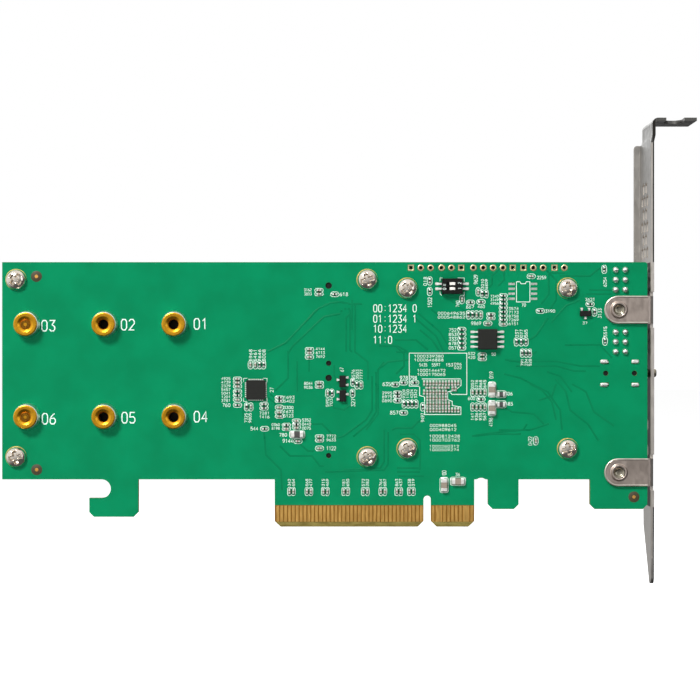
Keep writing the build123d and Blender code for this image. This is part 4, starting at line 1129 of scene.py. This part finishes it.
@dataclass
class BoardFace:
    """Board finish, copper tracks under the mask, vias, pads and rings."""

    track_width: float = 0.5
    track_height: float = 0.035
    ring_rise: float = 0.035
    header_z: float = 66.8
    header_pitch: float = 2.54
    header_starts: tuple = (-4.2, 3.7, 11.9, 24.8, 32.8)
    header_counts: tuple = (3, 3, 5, 3, 2)
    hole_radius: float = 0.43
    square_pads_px: tuple = (411.0, 461.4, 512.7, 523.4, 554.5)
    hole_shade_top: float = 0.45
    screw_ring: tuple = ((2.74, PARTS), (2.72, PARTS + 0.03), (1.75, PARTS + 0.03), (1.75, PARTS))
    target_ring: tuple = ((1.42, PARTS), (1.4, PARTS + 0.012), (0, PARTS + 0.012))
    target_dot: tuple = ((0.46, PARTS), (0.42, PARTS + 0.045), (0, PARTS + 0.05))
    targets_px: tuple = ((36.4, 276.5), (36.7, 469.8), (633.9, 497.0))
    spare_rows_px: tuple = (284.0, 288.9, 293.8, 298.8)
    spare_columns_px: tuple = ((508.4, 514.9), (530.9, 537.2))

    def add_tracks(self) -> None:
        """Tracks and vias that show as low ridges under the mask."""
        high = SOLDER - self.track_height
        strips = [ribbon(from_photo(path), self.track_width, SOLDER, high, ROUND) for path in TRACKS]
        dot = ((0, PARTS), (0.32, PARTS), (0.3, -high), (0, -high))
        dots = [lathe(dot, tuple(place), 12) for place in from_photo(VIAS)]
        add_piece("masked_tracks", strips, TRACK, angle=30)
        add_piece("masked_vias", dots, TRACK, angle=30)

    def add_header(self) -> None:
        """Plated holes of the pin header row, with square first pads and a painted-shade fill in each hole.
        """
        rings, hole_shades, halos = [], [], []
        squares = from_photo([(px, 0) for px in self.square_pads_px])[:, 0]
        outer, bore = PARTS + self.ring_rise, self.hole_radius
        places = [start + k * self.header_pitch for start, n in zip(self.header_starts, self.header_counts)
                  for k in range(n)]
        for x in places:
            square = bool(np.abs(squares - x).min() < 1.0)
            radius = 0.72 if square else 0.78
            front = [(radius, PARTS), (radius - 0.06, outer), (0.55, outer - 0.01), (bore, PARTS - 0.1)]
            back = [(r, -h) for r, h in front[::-1]]
            wall = [(bore + 0.015, -PARTS), (bore + 0.015, PARTS)]
            rings.append(lathe(front + back + wall, (x, self.header_z), 32, square=square))
            halo = [(radius + 0.1, PARTS), (radius + 0.09, PARTS + 0.008), (0.6, PARTS + 0.008), (0.6, PARTS)]
            halos.append(lathe(halo, (x, self.header_z), 32, square=square))
            # Painted shade: a dark fill in the hole stands for the shadow seen through it.
            hole_shade = [(0, self.hole_shade_top - 0.06), (0.3, self.hole_shade_top - 0.04), (bore + 0.01, self.hole_shade_top)]
            hole_shade += [(bore + 0.01, 0.1 - PARTS), (0, 0.14 - PARTS)]
            hole_shades.append(lathe(hole_shade, (x, self.header_z), 24))
        add_piece("header_rings", rings, PALE_GOLD)
        add_piece("header_halos", halos, CLEARED)
        add_piece("header_hole_shades", hole_shades, HOLE_SHADE)

    def add_rings(self) -> None:
        """Gold rings under the eight heatsink screws, and camera targets: a copper dot in a bare ring."""
        seats = [c for node in ("drive_heatsink_screws", "chip_heatsink_screws") for c in islands(node)[0]]
        rings = [lathe(self.screw_ring, (c[0] - 0.07, c[2] + 0.07), 48) for c in seats]
        add_piece("screw_rings", rings, PAD_GOLD)
        places = [tuple(p) for p in from_photo(self.targets_px)]
        add_piece("target_rings", [lathe(self.target_ring, p) for p in places], BARE)
        add_piece("target_dots", [lathe(self.target_dot, p, 24) for p in places], COPPER)

    def add_wide_contacts(self) -> None:
        """Gold between the contact pairs that are one wide pad on the solder side."""
        low, high = 1.35, CONTACT_TOP
        fills = []
        for left, right in ((2.84, 3.16), (9.84, 10.16)):
            box = [(left, low), (right, low), (right, high), (left, high)]
            fills.append(plate(box, SOLDER, SOLDER - 0.05))
        add_piece("wide_contacts", fills, GOLD)

    def add_spare_pads(self) -> None:
        """Tinned pads of the eight-pin place that has no part."""
        pads = []
        for py in self.spare_rows_px:
            for left, right in self.spare_columns_px:
                (x0, z0), (x1, z1) = from_photo([(left, py + 1.2), (right, py - 1.2)])
                pads.append(rounded_block((x0, x1), (SOLDER - 0.07, SOLDER), (z0, z1), 0.06))
        add_piece("spare_pads", pads, SOLDER_TIN)

    def build(self) -> None:
        """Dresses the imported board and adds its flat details."""
        rounded_copy("circuit_board", "board_laminate_sheet", MASK, 0.1, "board_laminate", segments=1)
        dress_node("edge_contacts_solder_side", GOLD)
        dress_node("edge_contacts_component_side", GOLD)
        self.add_tracks()
        self.add_header()
        self.add_rings()
        self.add_wide_contacts()
        self.add_spare_pads()


def rounded_block(x: tuple, y: tuple, z: tuple, cut: float, front: int = -1) -> Shell:
    """Block whose edges round its front face and its upright corners are cut at 45 degrees.

    Formula: an eight-sided outline, offset inwards by the cut on the front layer.

    Args:
        x: (low, high) in X.
        y: (low, high) in Y.
        z: (low, high) in Z.
        cut: size of the cut.
        front: sign of Y that the front faces.

    Returns:
        The closed block.
    """
    def outline(inset: float) -> np.ndarray:
        """Eight corners of the outline, moved inwards."""
        x0, x1, z0, z1 = x[0] + inset, x[1] - inset, z[0] + inset, z[1] - inset
        return np.array(
            [(x0 + cut, z0), (x1 - cut, z0), (x1, z0 + cut), (x1, z1 - cut),
             (x1 - cut, z1), (x0 + cut, z1), (x0, z1 - cut), (x0, z0 + cut)]
        )

    back, fore = (y[1], y[0]) if front < 0 else (y[0], y[1])
    step = cut if front > 0 else -cut
    layers = ((0.0, back), (0.0, fore - step), (cut * 0.7, fore))
    return drawn(np.stack([np.insert(outline(inset), 1, depth, axis=1) for inset, depth in layers]))


@dataclass
class SmallChips:
    """Small two-ended chips on the solder side: body, end caps and solder."""

    cap_share: float = 0.27
    round_share: float = 0.12
    large_chip: float = 1.5

    def bar(self, stations: Sequence) -> Shell:
        """Unit bar with two cut long edges.

        Args:
            stations: (place along the length, factor on the width and height) pairs.

        Returns:
            The closed bar.
        """
        near, far = self.round_share - 0.5, 0.5 - self.round_share
        section = np.array([(-0.5, near), (near, -0.5), (far, -0.5), (0.5, near), (0.5, 0.5), (-0.5, 0.5)])
        return drawn(np.stack([np.insert(section[:, ::-1] * grow, 0, at, axis=1) for at, grow in stations]))

    def caps(self) -> Shell:
        """Unit pair of end caps with rounded outer rims."""
        stations = ((0.5 - self.cap_share, 1.04), (0.47, 1.04), (0.5, 0.9))
        return Shell.joined(self.bar([(side * at, grow) for at, grow in stations]) for side in (-1, 1))

    def fillets(self, reach: float) -> Shell:
        """Unit pair of solder wedges that rise from the pad to the end caps.

        Formula: height falls as the square of the distance from the cap.

        Args:
            reach: how far they spread along the unit length.

        Returns:
            Both wedges.
        """
        t = np.linspace(0, 1, 5)
        out, top, wide = 0.44 + reach * t, 0.5 - 0.78 * (1 - t) ** 2 - 0.1 * (1 - t), 0.52 + 0.06 * t
        low = np.full(5, 0.58)
        lines = ((top, -wide * 0.7), (top, wide * 0.7), (low, wide), (low, -wide))
        return Shell.joined(
            drawn(np.stack([np.stack([side * out, y, z], 1) for y, z in lines], 1)) for side in (-1, 1)
        )

    def build(self) -> None:
        """Makes the bodies by kind, and one piece each for caps and solder."""
        tan = ("chip_capacitors", "decoupling_capacitors", "bulk_capacitors")
        places = []
        half = 0.5 - self.cap_share * 0.8
        body = self.bar(((-half, 1.0), (half, 1.0)))
        for name, nodes, finish, slot in (
            ("resistor_bodies", ("chip_resistors",), RESISTOR, "resistor_black"),
            ("capacitor_bodies", tan, CERAMIC, "capacitor_tan"),
            ("bead_bodies", ("ferrite_beads",), FERRITE, "ferrite_grey"),
        ):
            centres, extents = (np.concatenate(part) for part in zip(*map(chip_places, nodes)))
            turned = extents[:, 2] > extents[:, 0]
            sizes = np.where(turned[:, None], extents[:, [2, 1, 0]], extents)
            add_piece(name, [stamped(body, centres, sizes, turned)], finish, nodes, angle=None)
            places.append((centres, sizes, turned))
        centres, sizes, turned = (np.concatenate(part) for part in zip(*places))
        caps = stamped(self.caps(), centres, sizes, turned)
        add_piece("chip_end_caps", [caps], LEAD, angle=None)
        large = sizes[:, 0] > self.large_chip
        wedges = [
            stamped(self.fillets(reach), centres[pick], sizes[pick], turned[pick])
            for reach, pick in ((0.16, large), (0.3, ~large))
        ]
        add_piece("chip_solder", wedges, SOLDER_TIN)


@dataclass
class Screws:
    """Cross-recess screws on the solder side, and the bracket screws from the component side."""

    head_radius: float = 2.65
    head_height: float = 1.9
    rim_height: float = 0.18
    arm_length: float = 1.75
    arm_width: float = 0.4
    recess_depth: float = 1.25
    rings: int = 34
    steps: int = 96
    shank: tuple = (
        (2.6235, PARTS), (1.43, PARTS), (1.43, -PARTS - 2.6), (1.13, -PARTS - 2.98), (0, -PARTS - 2.98)
    )
    short_end: tuple = (
        (2.62, PARTS), (1.43, PARTS), (1.43, -PARTS - 0.86), (1.38, -PARTS - 0.96), (1.28, -PARTS - 0.92),
        (0.94, -PARTS - 0.5), (0.86, -PARTS - 0.46), (0, -PARTS - 0.45),
    )

    def arm(self, along: np.ndarray, across: np.ndarray) -> np.ndarray:
        """Depth of one arm of the cross, from 0 to 1.

        Args:
            along: distance from the middle along the arm.
            across: distance from the arm's centre line.

        Returns:
            The depth at each place.
        """
        reach = np.clip((self.arm_length - np.abs(along)) / 0.55, 0, 1)
        half = self.arm_width * (0.75 + 0.25 * np.abs(along) / self.arm_length)
        flank = np.clip((half - np.abs(across)) / 0.2 + 1, 0, 1)
        return flank * (0.35 + 0.65 * reach) * (reach > 0) * np.sqrt(reach)

    def head(self, x: float, z: float, side: int, turn: float) -> Shell:
        """Domed head with a cross recess.

        Formula: height(r) = H (1 - (r / R)^2.5)^0.5 less the recess, whose depth falls from the middle along
        each arm and closes steeply at the arm's flanks. The rim closes down to the seat.

        Args:
            x: X of the axis.
            z: Z of the axis.
            side: sign of Y that the head faces.
            turn: angle of the cross in degrees.

        Returns:
            The shell, open at the seat.
        """
        r = np.linspace(0, 1, self.rings) ** 0.85 * self.head_radius
        v = np.arange(self.steps) * 2 * np.pi / self.steps
        radius, angle = np.meshgrid(r, v, indexing="ij")
        height = self.head_height * np.sqrt(np.clip(1 - (radius / self.head_radius) ** 2.5, 0, 1))
        a, b = radius * np.cos(angle), radius * np.sin(angle)
        middle = np.clip((0.95 - radius) / 0.35, 0, 1)
        depth = np.maximum(np.maximum(self.arm(a, b), self.arm(b, a)), middle * 0.9)
        height = np.maximum(height - depth * self.recess_depth, 0.25 * (radius < self.head_radius * 0.9))
        height[-1] = 0.0
        angle = angle + math.radians(turn)
        rise = PARTS + self.rim_height + height * (self.head_height - self.rim_height) / self.head_height
        top = np.stack([x + radius * np.cos(angle), side * rise, z + radius * np.sin(angle)], -1)
        seat = top[-1:].copy()
        seat[..., 1] = side * PARTS
        points = np.concatenate([top, seat]).reshape(-1, 3)
        return Shell(points, grid_faces(self.rings + 1, self.steps, False, True))

    def build(self) -> None:
        """Makes the heatsink screws with their heads on the solder face, and the two bracket screws."""
        turns = {"drive_heatsink_screws": (12, 50, 33, 20), "chip_heatsink_screws": (28, 41, 15, 8)}
        for node, angles in turns.items():
            shells = []
            for (x, _, z), turn in zip(islands(node)[0], angles):
                shells += [self.head(x, z, -1, turn), lathe(self.shank, (x, z), self.steps)]
            add_piece(node.replace("screws", "screw_heads"), shells, SCREW, (node,))
        places = islands("bracket_screws")[0]
        heads = [self.head(x, z, 1, turn) for (x, _, z), turn in zip(places, (35, 62))]
        add_piece("bracket_screw_heads", heads, SCREW, ("bracket_screws",))
        ends = [lathe(self.short_end, (x, z), self.steps, 1) for x, _, z in places]
        add_piece("bracket_screw_ends", ends, PIN)


@dataclass
class Nuts:
    """Brass nuts on the solder side, with solder round their foot, and the drive posts."""

    radius: float = 3.05
    height: float = 2.6
    bore: float = 1.25
    barrel: float = 2.08

    def nut(self, x: float, z: float) -> Shell:
        """Turned nut: rounded rim, flat land, wide countersink and a clear bore."""
        top, rim = PARTS + self.height, self.radius
        profile = [(self.barrel, -PARTS), (self.barrel, PARTS), (rim, PARTS), (rim, top - 0.3)]
        profile += [(rim - 0.04, top - 0.16), (rim - 0.14, top - 0.05), (rim - 0.26, top), (rim - 0.32, top)]
        profile += [(2.1, top), (2.0, top - 0.01), (1.94, top - 0.04)]
        profile += [(1.42, top - 0.3), (1.36, top - 0.35), (self.bore, top - 0.5)]
        profile += [(self.bore, 0.3 - PARTS), (self.bore + 0.2, -PARTS)]
        return lathe(profile, (x, z), 64)

    def foot(self, x: float, z: float) -> Shell:
        """Solder round the nut: a hollow curve that climbs its wall, a little to the upper right as it ran.

        Formula: radius = R + 0.06 + 0.34 (1 - t)^1.6 and height = 2.2 t, t from 0 to 1.
        """
        t = np.linspace(0, 1, 8)
        inner = self.radius - 0.2
        curve = zip(self.radius + 0.06 + 0.34 * (1 - t) ** 1.6, PARTS + 0.02 + 2.2 * t)
        return lathe([(inner, PARTS), *curve, (inner, PARTS + 2.24)], (x + 0.08, z + 0.08), 56)

    def stud_end(self, x: float, z: float) -> Shell:
        """Turned end of a post's stud in its nut: a rim, a groove and a deep centre mark."""
        top = PARTS + self.height - 0.3
        profile = [(1.2, top - 0.3), (1.2, top - 0.02), (1.08, top + 0.1), (0.92, top + 0.1)]
        profile += [(0.8, top - 0.02), (0.68, top + 0.08), (0.48, top + 0.08), (0.36, top - 0.1)]
        profile += [(0, top - 0.2), (0, top - 0.3)]
        return lathe(profile, (x, z))

    def build(self) -> None:
        """Makes the six nuts, their solder and the two posts."""
        nodes = [f"drive_nut_{number}" for number in range(1, 7)]
        for number, node in enumerate(nodes, 1):
            nut = self.nut(*middle_of(node))
            add_piece(f"turned_nut_{number}", [nut], BRASS, (node,), angle=25)
        feet = [self.foot(*middle_of(node)) for node in nodes]
        add_piece("nut_solder", feet, SOLDER_TIN, angle=50)
        posts = ("drive_post_upper", "drive_post_lower")
        for post in posts:
            dress_node(post, BRASS)
        add_piece("stud_ends", [self.stud_end(*middle_of(post)) for post in posts], DARKER_BRASS)


@dataclass
class Joints:
    """Solder joints of the leads that come through the board."""

    cone_radius: float = 0.84
    cone_height: float = 1.0
    mound: tuple = (1.04, 0.42, 0.6)
    frame_tabs_px: tuple = ((604.0, 361.7), (635.2, 361.7), (604.0, 384.9), (635.2, 384.9))

    def cone(self, x: float, z: float) -> Shell:
        """Full drop of solder round a lead, with the lead's end under its tip.

        Formula: radius = R cos(u)^0.8 and height = H sin(u)^1.1, u from 0 to a quarter turn.
        """
        u = np.linspace(0, np.pi / 2, 9)
        radius = self.cone_radius * np.cos(u) ** 0.8
        radius[-1] = 0.0
        height = PARTS + self.cone_height * np.sin(u) ** 1.1
        return lathe(list(zip(radius, height)), (x, z), 28)

    def oblong(self, x: float, z: float) -> Shell:
        """Low oblong mound of solder over a flat tab.

        Formula: height = H (1 - s^3.6)^0.5, where s grows from the middle to the rim, on which
        |u / a|^4 + |v / b|^4 = 1.
        """
        length, height, width = self.mound
        ring = np.linspace(0, 1, 8)
        angle = np.arange(28) * 2 * np.pi / 28
        s, v = np.meshgrid(ring, angle, indexing="ij")
        box = np.maximum(np.abs(np.cos(v)) ** 4 + np.abs(np.sin(v)) ** 4, 1e-6) ** (-1 / 4)
        rise = height * (1 - s**3.6) ** 0.5
        across, along = x + length * s * np.cos(v) * box, z + width * s * np.sin(v) * box
        points = np.stack([across, SOLDER - rise, along], -1)
        return Shell(points.reshape(-1, 3), grid_faces(8, 28, False, True))

    def build(self) -> None:
        """Twelve lamp joints and the four of the button frame."""
        cones = [self.cone(x, z) for x, _, z in islands("lamp_leads")[0]]
        add_piece("lamp_joints", cones, SOLDER_TIN, angle=50)
        dress_node("lamp_leads", LEAD)
        mounds = [self.oblong(*place) for place in from_photo(self.frame_tabs_px)]
        add_piece("button_joints", mounds, SOLDER_TIN, angle=60)


@dataclass
class Packages:
    """Moulded chips, the option switch and their leads on the solder side."""

    mark_face: float = SOLDER - 1.7
    leads: tuple = (
        ("flash_leads", "flash_chip"), ("switch_leads", "switch_housing"), ("transistor_leads", "transistors")
    )
    mouldings: tuple = (
        ("flash_chip", MOULDING, 0.12, "package_black"),
        ("interface_chip", MOULDING, 0.06, "package_black"),
        ("transistors", BLACK_PLASTIC, 0.1, "package_black"),
        ("switch_housing", SWITCH_BLACK, 0.08, "socket_black"),
    )

    def add_lead_solder(self) -> None:
        """Solder feet under the bent leads, towards their outer ends."""
        centres, sizes, turned = [], [], []
        for node, owner in self.leads:
            middles = islands(owner)[0]
            for place, extent in zip(*islands(node)):
                middle = middles[np.linalg.norm((middles - place)[:, [0, 2]], axis=1).argmin()]
                long, wide = (0, 2) if extent[0] > extent[2] else (2, 0)
                centre = np.array([place[0], SOLDER - 0.05, place[2]])
                centre[long] += np.sign(place[long] - middle[long]) * extent[long] * 0.28
                centres.append(centre)
                sizes.append((extent[long] * 0.62, 0.1, extent[wide] + 0.24))
                turned.append(long == 2)
        pad = rounded_block((-0.5, 0.5), (-0.5, 0.5), (-0.5, 0.5), 0.16)
        feet = stamped(pad, np.array(centres), np.array(sizes), np.array(turned))
        add_piece("lead_pads", [feet], SOLDER_TIN, angle=60)

    def add_marks(self) -> None:
        """Turned marks on the switch: ON beside the sliders' far ends and the numbers 1 and 2."""
        strips = []
        for letter, x, z in SWITCH_MARKS:
            for stroke in STROKES[letter]:
                line = np.asarray(stroke, float) * (0.62, 0.74)
                line = np.stack([x - line[:, 1], z + line[:, 0]], 1)
                strips.append(ribbon(line, 0.1, self.mark_face, self.mark_face - 0.02))
        add_piece("switch_marks", strips, INK, angle=None)

    def build(self) -> None:
        """Rounds the mouldings and gives leads their finish."""
        for node, finish, width, slot in self.mouldings:
            rounded_copy(node, f"{node}_moulding", finish, width, slot)
        for number, body in ((1, "slider_one"), (2, "slider_two")):
            node = f"switch_slider_{number}"
            rounded_copy(node, f"{node}_knob", SLIDER, 0.07, "slider_white", body)
        for node in ("flash_leads", "transistor_leads", "switch_leads", "interface_pads"):
            dress_node(node, LEAD)
        self.add_lead_solder()
        self.add_marks()


@dataclass
class Bracket:
    """Folded mounting bracket with rolled tab collars."""

    collar_x: float = 49.3
    tab_rows: tuple = (55.95, 14.1)
    sheet: float = 0.86
    tab_height: float = 7.2
    tab_end_x: float = 45.55
    tab_root_x: float = 56.7
    rim_width: float = 0.5

    def collar(self, z: float) -> Shell:
        """Rolled collar: a rounded ring that stands on the tab round the screw's end."""
        base = PARTS + self.sheet
        v = np.linspace(0, np.pi, 9)
        profile = [(1.52, base - 0.3), (1.52, base + 0.3)]
        profile += [(1.52 + 0.24 - 0.24 * math.cos(a), base + 0.38 + 0.2 * math.sin(a)) for a in v]
        profile += [(2.06, base + 0.16), (2.3, base + 0.02), (2.3, base - 0.1), (1.8, base - 0.3)]
        return lathe(profile, (self.collar_x, z), 56)

    def rim(self, z: float) -> Shell:
        """Burnished edge of one tab: a low bead along its outline, whose brighter finish is partly a painted
        highlight.
        """
        half = (self.tab_height - self.rim_width) / 2
        angle = np.linspace(np.pi / 2, 3 * np.pi / 2, 25)
        centre = self.tab_end_x + self.tab_height / 2
        turn = np.stack([centre + half * np.cos(angle), z + half * np.sin(angle)], 1)
        path = np.concatenate([[(self.tab_root_x, z + half)], turn, [(self.tab_root_x, z - half)]])
        face = SOLDER - self.sheet
        return ribbon(path, self.rim_width, face + 0.02, face - 0.09, ROUND)

    def build(self) -> None:
        """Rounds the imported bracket's cut edges and adds the collars."""
        rounded_copy("mounting_bracket", "bracket_sheet", SHEET, 0.14, "bracket_nickel")
        add_piece("tab_rims", [self.rim(z) for z in self.tab_rows], EDGE_BURNISH_AND_HIGHLIGHT, angle=60)
        add_piece("tab_collars", [self.collar(z) for z in self.tab_rows], SHEET, angle=45)


@dataclass
class ComponentSide:
    """Heatsinks, sockets, controller, lamps, push button and power parts."""

    finger_count: int = 40
    finger_pitch: float = 0.5
    finger_walls: tuple = ((PARTS + 2.12, 0.16), (PARTS + 3.08, -0.16))
    finger_bends: tuple = ((0.95, 0), (1.9, 1), (2.6, 1), (4.3, 0))
    finger_gauge: float = 0.08
    sinks: tuple = (
        ("drive_heatsink", "drive_heatsink_body", SINK_BLACK_AND_SHADE, 0.12, "sink_aluminium"),
        ("chip_heatsink", "chip_heatsink_body", ANODISED, 0.12, "sink_aluminium"),
    )
    button: tuple = (
        ("button_base", "button_base_body", BLACK_PLASTIC, 0.12, "socket_black"),
        ("button_frame", "button_frame_sheet", LEAD, 0.08, "lead_tin"),
        ("button_plunger", "button_plunger_pin", PIN, 0.08, "screw_nickel", "plunger"),
    )
    power: tuple = (
        ("power_inductors", "power_inductor_blocks", IRON_POWDER, 0.25, "inductor_grey"),
        ("regulator_chips", "regulator_mouldings", MOULDING, 0.06, "package_black"),
        ("clock_crystal", "clock_crystal_can", LEAD, 0.1, "lead_tin"),
        ("input_capacitors", "input_capacitor_blocks", CERAMIC, 0.1, "capacitor_tan"),
    )

    def add_socket_fingers(self, name: str) -> None:
        """Spring contacts in the mouth of one drive socket, over the slot's lower and upper walls."""
        low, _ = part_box(f"drive_socket_{name}")
        front, middle = low[0] / MM, middle_of(f"drive_socket_{name}")[1]
        tips = []
        for k in range(self.finger_count):
            z = middle + (k - (self.finger_count - 1) / 2) * self.finger_pitch
            for y, bend in self.finger_walls:
                line = [(front + x, y + bend * share) for x, share in self.finger_bends]
                line += [(x, depth - math.copysign(self.finger_gauge, bend)) for x, depth in line[::-1]]
                shell = plate(line, z - 0.11, z + 0.11)
                tips.append(Shell(shell.points[:, [0, 2, 1]], shell.faces))
        add_piece(f"socket_fingers_{name}", tips, PAD_GOLD, angle=None)

    def build(self) -> None:
        """Dresses everything on the component face."""
        for row in self.sinks:
            rounded_copy(*row)
        for name in ("upper", "lower"):
            for part, width in ((f"drive_socket_{name}", 0.1), (f"lamp_holder_{name}", 0.15)):
                rounded_copy(part, f"{part}_body", BLACK_PLASTIC, width, "socket_black")
            dress_node(f"socket_contacts_{name}", LEAD)
        for name in ("upper", "lower"):
            self.add_socket_fingers(name)
        for row in self.button + self.power:
            rounded_copy(*row)
        dress_node("status_lamps", EPOXY)
        dress_node("chip_thermal_pad", SILICONE)
        dress_node("controller_chip", MOULDING)


@dataclass
class Studio:
    """Camera, lamps, white surroundings and the pale floor."""

    camera_place: tuple = (-0.0199, -0.4578, 0.0456)
    lens: float = 91.2
    floor_z: float = -0.10
    world_strength: float = 0.14
    room_level: float = 0.1
    bright_side: tuple = (-0.5, 0.0, 0.87)

    def add_camera(self) -> None:
        """Camera square to the solder side at the photograph's distance."""
        data = bpy.data.cameras.new("camera")
        data.lens = self.lens
        data.sensor_width = 36.0
        camera = new_object("camera", data)
        camera.location = self.camera_place
        camera.rotation_euler = (math.radians(90), 0, 0)
        bpy.context.scene.camera = camera

    def add_lamp(
        self, name: str, place: tuple, target: tuple, size: float, power: float, colour: str
    ) -> None:
        """Square soft lamp that points at a target.

        Args:
            name: lamp name.
            place: its place in metres.
            target: point it faces.
            size: side length in metres.
            power: in watts.
            colour: sRGB hex.
        """
        data = bpy.data.lights.new(name, "AREA")
        data.size = size
        data.energy = power
        data.color = linear(colour)[:3]
        lamp = new_object(name, data)
        lamp.location = place
        lamp.rotation_euler = (Vector(target) - Vector(place)).to_track_quat("-Z", "Y").to_euler()

    def add_world(self) -> None:
        """White to the camera and plain soft light; reflections are bright above left and dim below right."""
        world = bpy.data.worlds.new("studio")
        bpy.context.scene.world = world
        world.use_nodes = True
        tree = world.node_tree
        tree.nodes.clear()
        rays = add_node(tree, "LightPath").node.outputs
        links = {0: rays["Is Camera Ray"], 1: rays["Is Transmission Ray"]}
        seen = add_node(tree, "Math", links, operation="MAXIMUM")
        direction = add_node(tree, "TexCoord", out="Generated")
        links = {0: direction, 1: self.bright_side}
        towards = add_node(tree, "VectorMath", links, "Value", operation="DOT_PRODUCT")
        links = {0: towards, 1: -0.5, 2: 0.6, 3: self.room_level, 4: 1.0}
        level = add_node(tree, "MapRange", links, interpolation_type="SMOOTHSTEP")
        strengths = (self.world_strength, level, 1.0)
        soft, mirrored, shown = (
            add_node(tree, "Background", {0: "#FFFFFF", 1: value}) for value in strengths
        )
        lit = add_node(tree, "MixShader", {0: rays["Is Glossy Ray"], 1: soft, 2: mirrored})
        add_node(tree, "OutputWorld", {0: add_node(tree, "MixShader", {0: seen, 1: lit, 2: shown})})

    def add_floor(self) -> None:
        """Pale matt floor well below the card."""
        size, z = 6.0, self.floor_z
        mesh = bpy.data.meshes.new("floor")
        corner = ((-size, -size, z), (size, -size, z), (size, size, z), (-size, size, z))
        mesh.from_pydata(corner, [], [(0, 1, 2, 3)])
        material = bpy.data.materials.new("pale_floor")
        material.use_nodes = True
        tree = material.node_tree
        tree.nodes.clear()
        seen = add_node(tree, "LightPath", out="Is Camera Ray")
        matt = add_node(tree, "BsdfDiffuse", {0: "#F4F4F4"})
        lit = add_node(tree, "AddShader", {0: matt, 1: add_node(tree, "Emission", {0: "#FFFFFF", 1: 0.85})})
        add_node(tree, "OutputMaterial", {0: add_node(tree, "MixShader", {0: seen, 1: matt, 2: lit})})
        mesh.materials.append(material)
        floor = new_object("floor", mesh)
        floor.visible_glossy = False

    def build(self) -> None:
        """Sets the studio up."""
        bpy.context.scene.view_settings.view_transform = "Standard"
        self.add_camera()
        self.add_world()
        self.add_floor()
        middle = (-0.02, 0.0, 0.04)
        self.add_lamp("key", (-0.68, -1.12, 1.1), middle, 0.42, 29.0, "#FFFEFC")
        self.add_lamp("fill", (0.7, -0.8, 0.2), middle, 0.5, 0.9, "#F6FAFF")
        self.add_lamp("back", (0.1, 0.9, 0.6), middle, 0.8, 4.0, "#FFFFFF")


def main() -> None:
    """Builds the card's looks in order and reports each piece."""
    logging.basicConfig(level=logging.INFO, format="%(message)s")
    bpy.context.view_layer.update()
    for assembly in (
        Studio(), BoardFace(), SolderSidePrint(), SmallChips(), Screws(), Nuts(), Joints(), Packages(),
        Bracket(), ComponentSide(),
    ):
        assembly.build()
        log.info("%s done", type(assembly).__name__)


if __name__ == "__main__":
    main()
